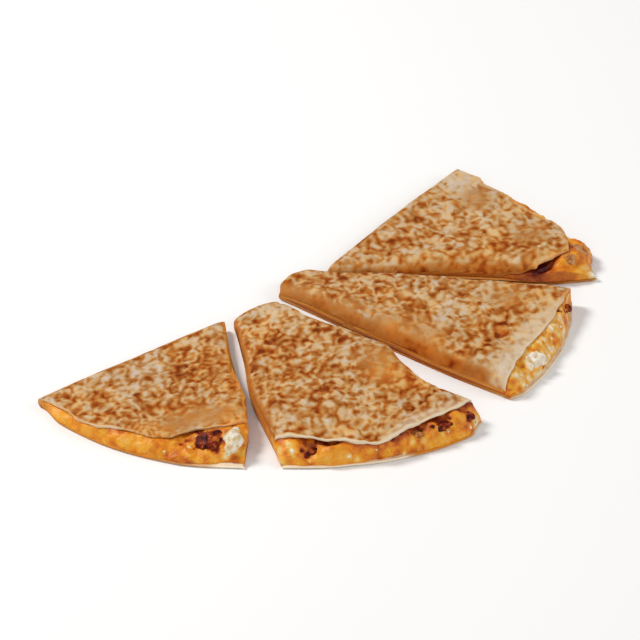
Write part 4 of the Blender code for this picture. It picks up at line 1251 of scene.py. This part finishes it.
def chunk(name, finish, slot, skins):
    """The CAD model's piece of filling with a finer, torn surface."""
    wedge_name, angle, inward, half, turn, tilt = CHUNKS[name]
    skin = skins[wedge_name]
    low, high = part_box(name)
    at = nearest(skin, (low + high) / 2.0, 1)
    half = np.array(half) * GROWTH.get(name, 1.0)
    middle = skin[1][at] - skin[2][at] * SINKS[wedge_name] * min(half)
    facing = math.radians(angle + 180.0 + WEDGES[wedge_name]["turn"] + turn)
    lean = math.radians(tilt)
    out = np.array((math.cos(facing), math.sin(facing), 0.0))
    along = np.array((out[1], -out[0], 0.0))
    rim = out * math.cos(lean) + np.array((0.0, 0.0, math.sin(lean)))
    p, faces = ball_mesh(5)
    uneven = 1.0 + sum(share * np.sin(waves * p[:, i] + angle * (i + 1))
                       for i, (share, waves) in enumerate(CHUNK_WAVES))
    place = p * half * uneven[:, None]
    torn = TORN_DEPTH * cloud(place * np.array(FIBRES) + middle, TORN_SIZE, 71, 3, 0.6)
    place = place + p * torn[:, None]
    builder = Builder()
    builder.grid(turned(place, middle, along, rim, np.cross(along, rim))[None])
    builder.faces = faces
    return builder.finish(name.replace("chicken", "meat") + "_looks", finish, slot, name)


def bits(name, kind, finish, slot, skin, size, seed):
    """Small bits of one kind on a wedge's filling, in one mesh."""
    wedge = Wedge(name)
    draw = np.random.RandomState(seed)
    builder = Builder()
    p, faces = ball_mesh(3)
    for angle, inward, height, reach in FILLING_FEATURES[name].get(kind, ()):
        at = nearest(skin, feature_place(wedge, angle, inward, height), 0)
        normal = skin[2][at]
        first = np.cross(normal, draw.normal(size=3))
        first = first / np.linalg.norm(first)
        radius = reach * 0.001 * size
        shape = draw.uniform(1.0 - BIT_SPREAD, 1.0 + BIT_SPREAD, 3) * radius
        shape[2] *= BIT_FLATNESS
        lumpy = 1.0 + BIT_LUMPS * cloud(p * 0.9 + draw.uniform(0.0, 50.0, 3), 1.0, 72, 2)
        place = p * shape * lumpy[:, None]
        middle = skin[1][at] - normal * BIT_SINK * radius
        index = builder.grid(turned(place, middle, first, np.cross(normal, first), normal)[None])
        builder.faces.extend([[int(index[0, 0]) + i for i in face] for face in faces])
    if builder.count:
        builder.finish("%s_bits_%s" % (kind, name), finish, slot)


# ---------------------------------------------------------------------------------- stage and camera
FLOOR_HALF = 3.0
AZIMUTH, ELEVATION, DISTANCE = -45.533, 31.507, 6.2808
PIXELS_PER_MM = 2.2987
SENSOR, PICTURE_WIDTH = 36.0, 640.0
TARGET = (-0.00263, -0.02494, 0.005)
WORLD_LIGHT = 0.36


def make_stage():
    mesh = bpy.data.meshes.new("floor")
    corners = [(FLOOR_HALF * x, FLOOR_HALF * y, 0) for x, y in ((-1, -1), (1, -1), (1, 1), (-1, 1))]
    mesh.from_pydata(corners, [], [(0, 1, 2, 3)])
    mesh.materials.append(Graph("pale_floor").finish((0.92, 0.92, 0.92, 1.0), 0.9, 0.0))
    floor = add_object("floor", mesh)
    floor.location.z = cad_low.z - 0.0001


def area_light(name, direction, distance, size, watts, shade=(1.0, 1.0, 1.0)):
    data = bpy.data.lights.new(name, "AREA")
    data.shape = "DISK"
    data.size = size
    data.energy = watts
    data.color = shade
    lamp = add_object(name, data)
    direction = Vector(direction).normalized()
    lamp.location = direction * distance
    lamp.rotation_euler = direction.to_track_quat("Z", "Y").to_euler()


def make_light():
    world = bpy.data.worlds.new("studio")
    bpy.context.scene.world = world
    world.use_nodes = True
    background = world.node_tree.nodes["Background"].inputs
    background["Color"].default_value = (1.0, 1.0, 1.0, 1.0)
    background["Strength"].default_value = WORLD_LIGHT
    area_light("key", (-0.35, 0.75, 0.95), 1.6, 0.5, 17.6, (1.0, 0.98, 0.95))
    area_light("fill", (-0.9, -0.9, 0.7), 2.2, 1.4, 11.0)
    area_light("right_fill", (0.8, -1.0, 0.7), 2.2, 1.4, 13.0)


def make_camera():
    azimuth, elevation = math.radians(AZIMUTH), math.radians(ELEVATION)
    back = Vector((math.sin(azimuth) * math.cos(elevation), -math.cos(azimuth) * math.cos(elevation),
                   math.sin(elevation)))
    data = bpy.data.cameras.new("camera")
    data.sensor_width = SENSOR
    data.lens = PIXELS_PER_MM * DISTANCE * 1000.0 * SENSOR / PICTURE_WIDTH
    data.clip_start = 0.1
    data.clip_end = 100.0
    camera = add_object("camera", data)
    camera.location = Vector(TARGET) - Vector((*LAYOUT_CENTRE, 0.0)) + back * DISTANCE
    camera.rotation_mode = "QUATERNION"
    camera.rotation_quaternion = (-back).to_track_quat("-Z", "Y")
    bpy.context.scene.camera = camera


# ------------------------------------------------------------------------------------------- build
LAYOUT_CENTRE = layout_centre()
bread = tortilla_material()
melted = cheese_material()
dark_meat = meat_material("grilled_chicken", 0.45, (0.32, "2A0402"), (0.45, "560E05"), (0.56, "8C300C"),
                          (0.70, "C87420"))
pale_meat = meat_material("pale_chicken", 0.5, (0.28, "C09A5E"), (0.42, "D8C294"), (0.55, "E2D8C4"),
                          (0.70, "EEE8E0"))
brown_meat = meat_material("browned_chicken", 0.45, (0.30, "8A4818"), (0.42, "A8642E"), (0.56, "BC8450"),
                           (0.70, "CCA07A"))
cream = meat_material("cream", 0.3, (0.30, "CDB08A"), (0.45, "DFD3BC"), (0.60, "EEE9DE"))
skins = {}
for wedge_name in WEDGES:
    tortilla(wedge_name, bread)
    skins[wedge_name] = cheese(wedge_name, melted)
for chunk_name in CHUNKS:
    if chunk_name == "cream_c":
        chunk(chunk_name, cream, "cream", skins)
    elif chunk_name == "chicken_a_pale":
        chunk(chunk_name, pale_meat, "chicken_pale", skins)
    else:
        chunk(chunk_name, brown_meat if chunk_name in BROWNED else dark_meat, "chicken_dark", skins)
for number, wedge_name in enumerate(WEDGES):
    bits(wedge_name, "meat", dark_meat, "chicken_dark", skins[wedge_name], 1.0, 300 + number)
    # cream bits at the white features, partly standing for painted highlights
    bits(wedge_name, "white_and_glint", cream, "cream", skins[wedge_name], 0.9, 400 + number)
make_stage()
make_light()
make_camera()
bpy.context.scene.view_settings.view_transform = "Standard"
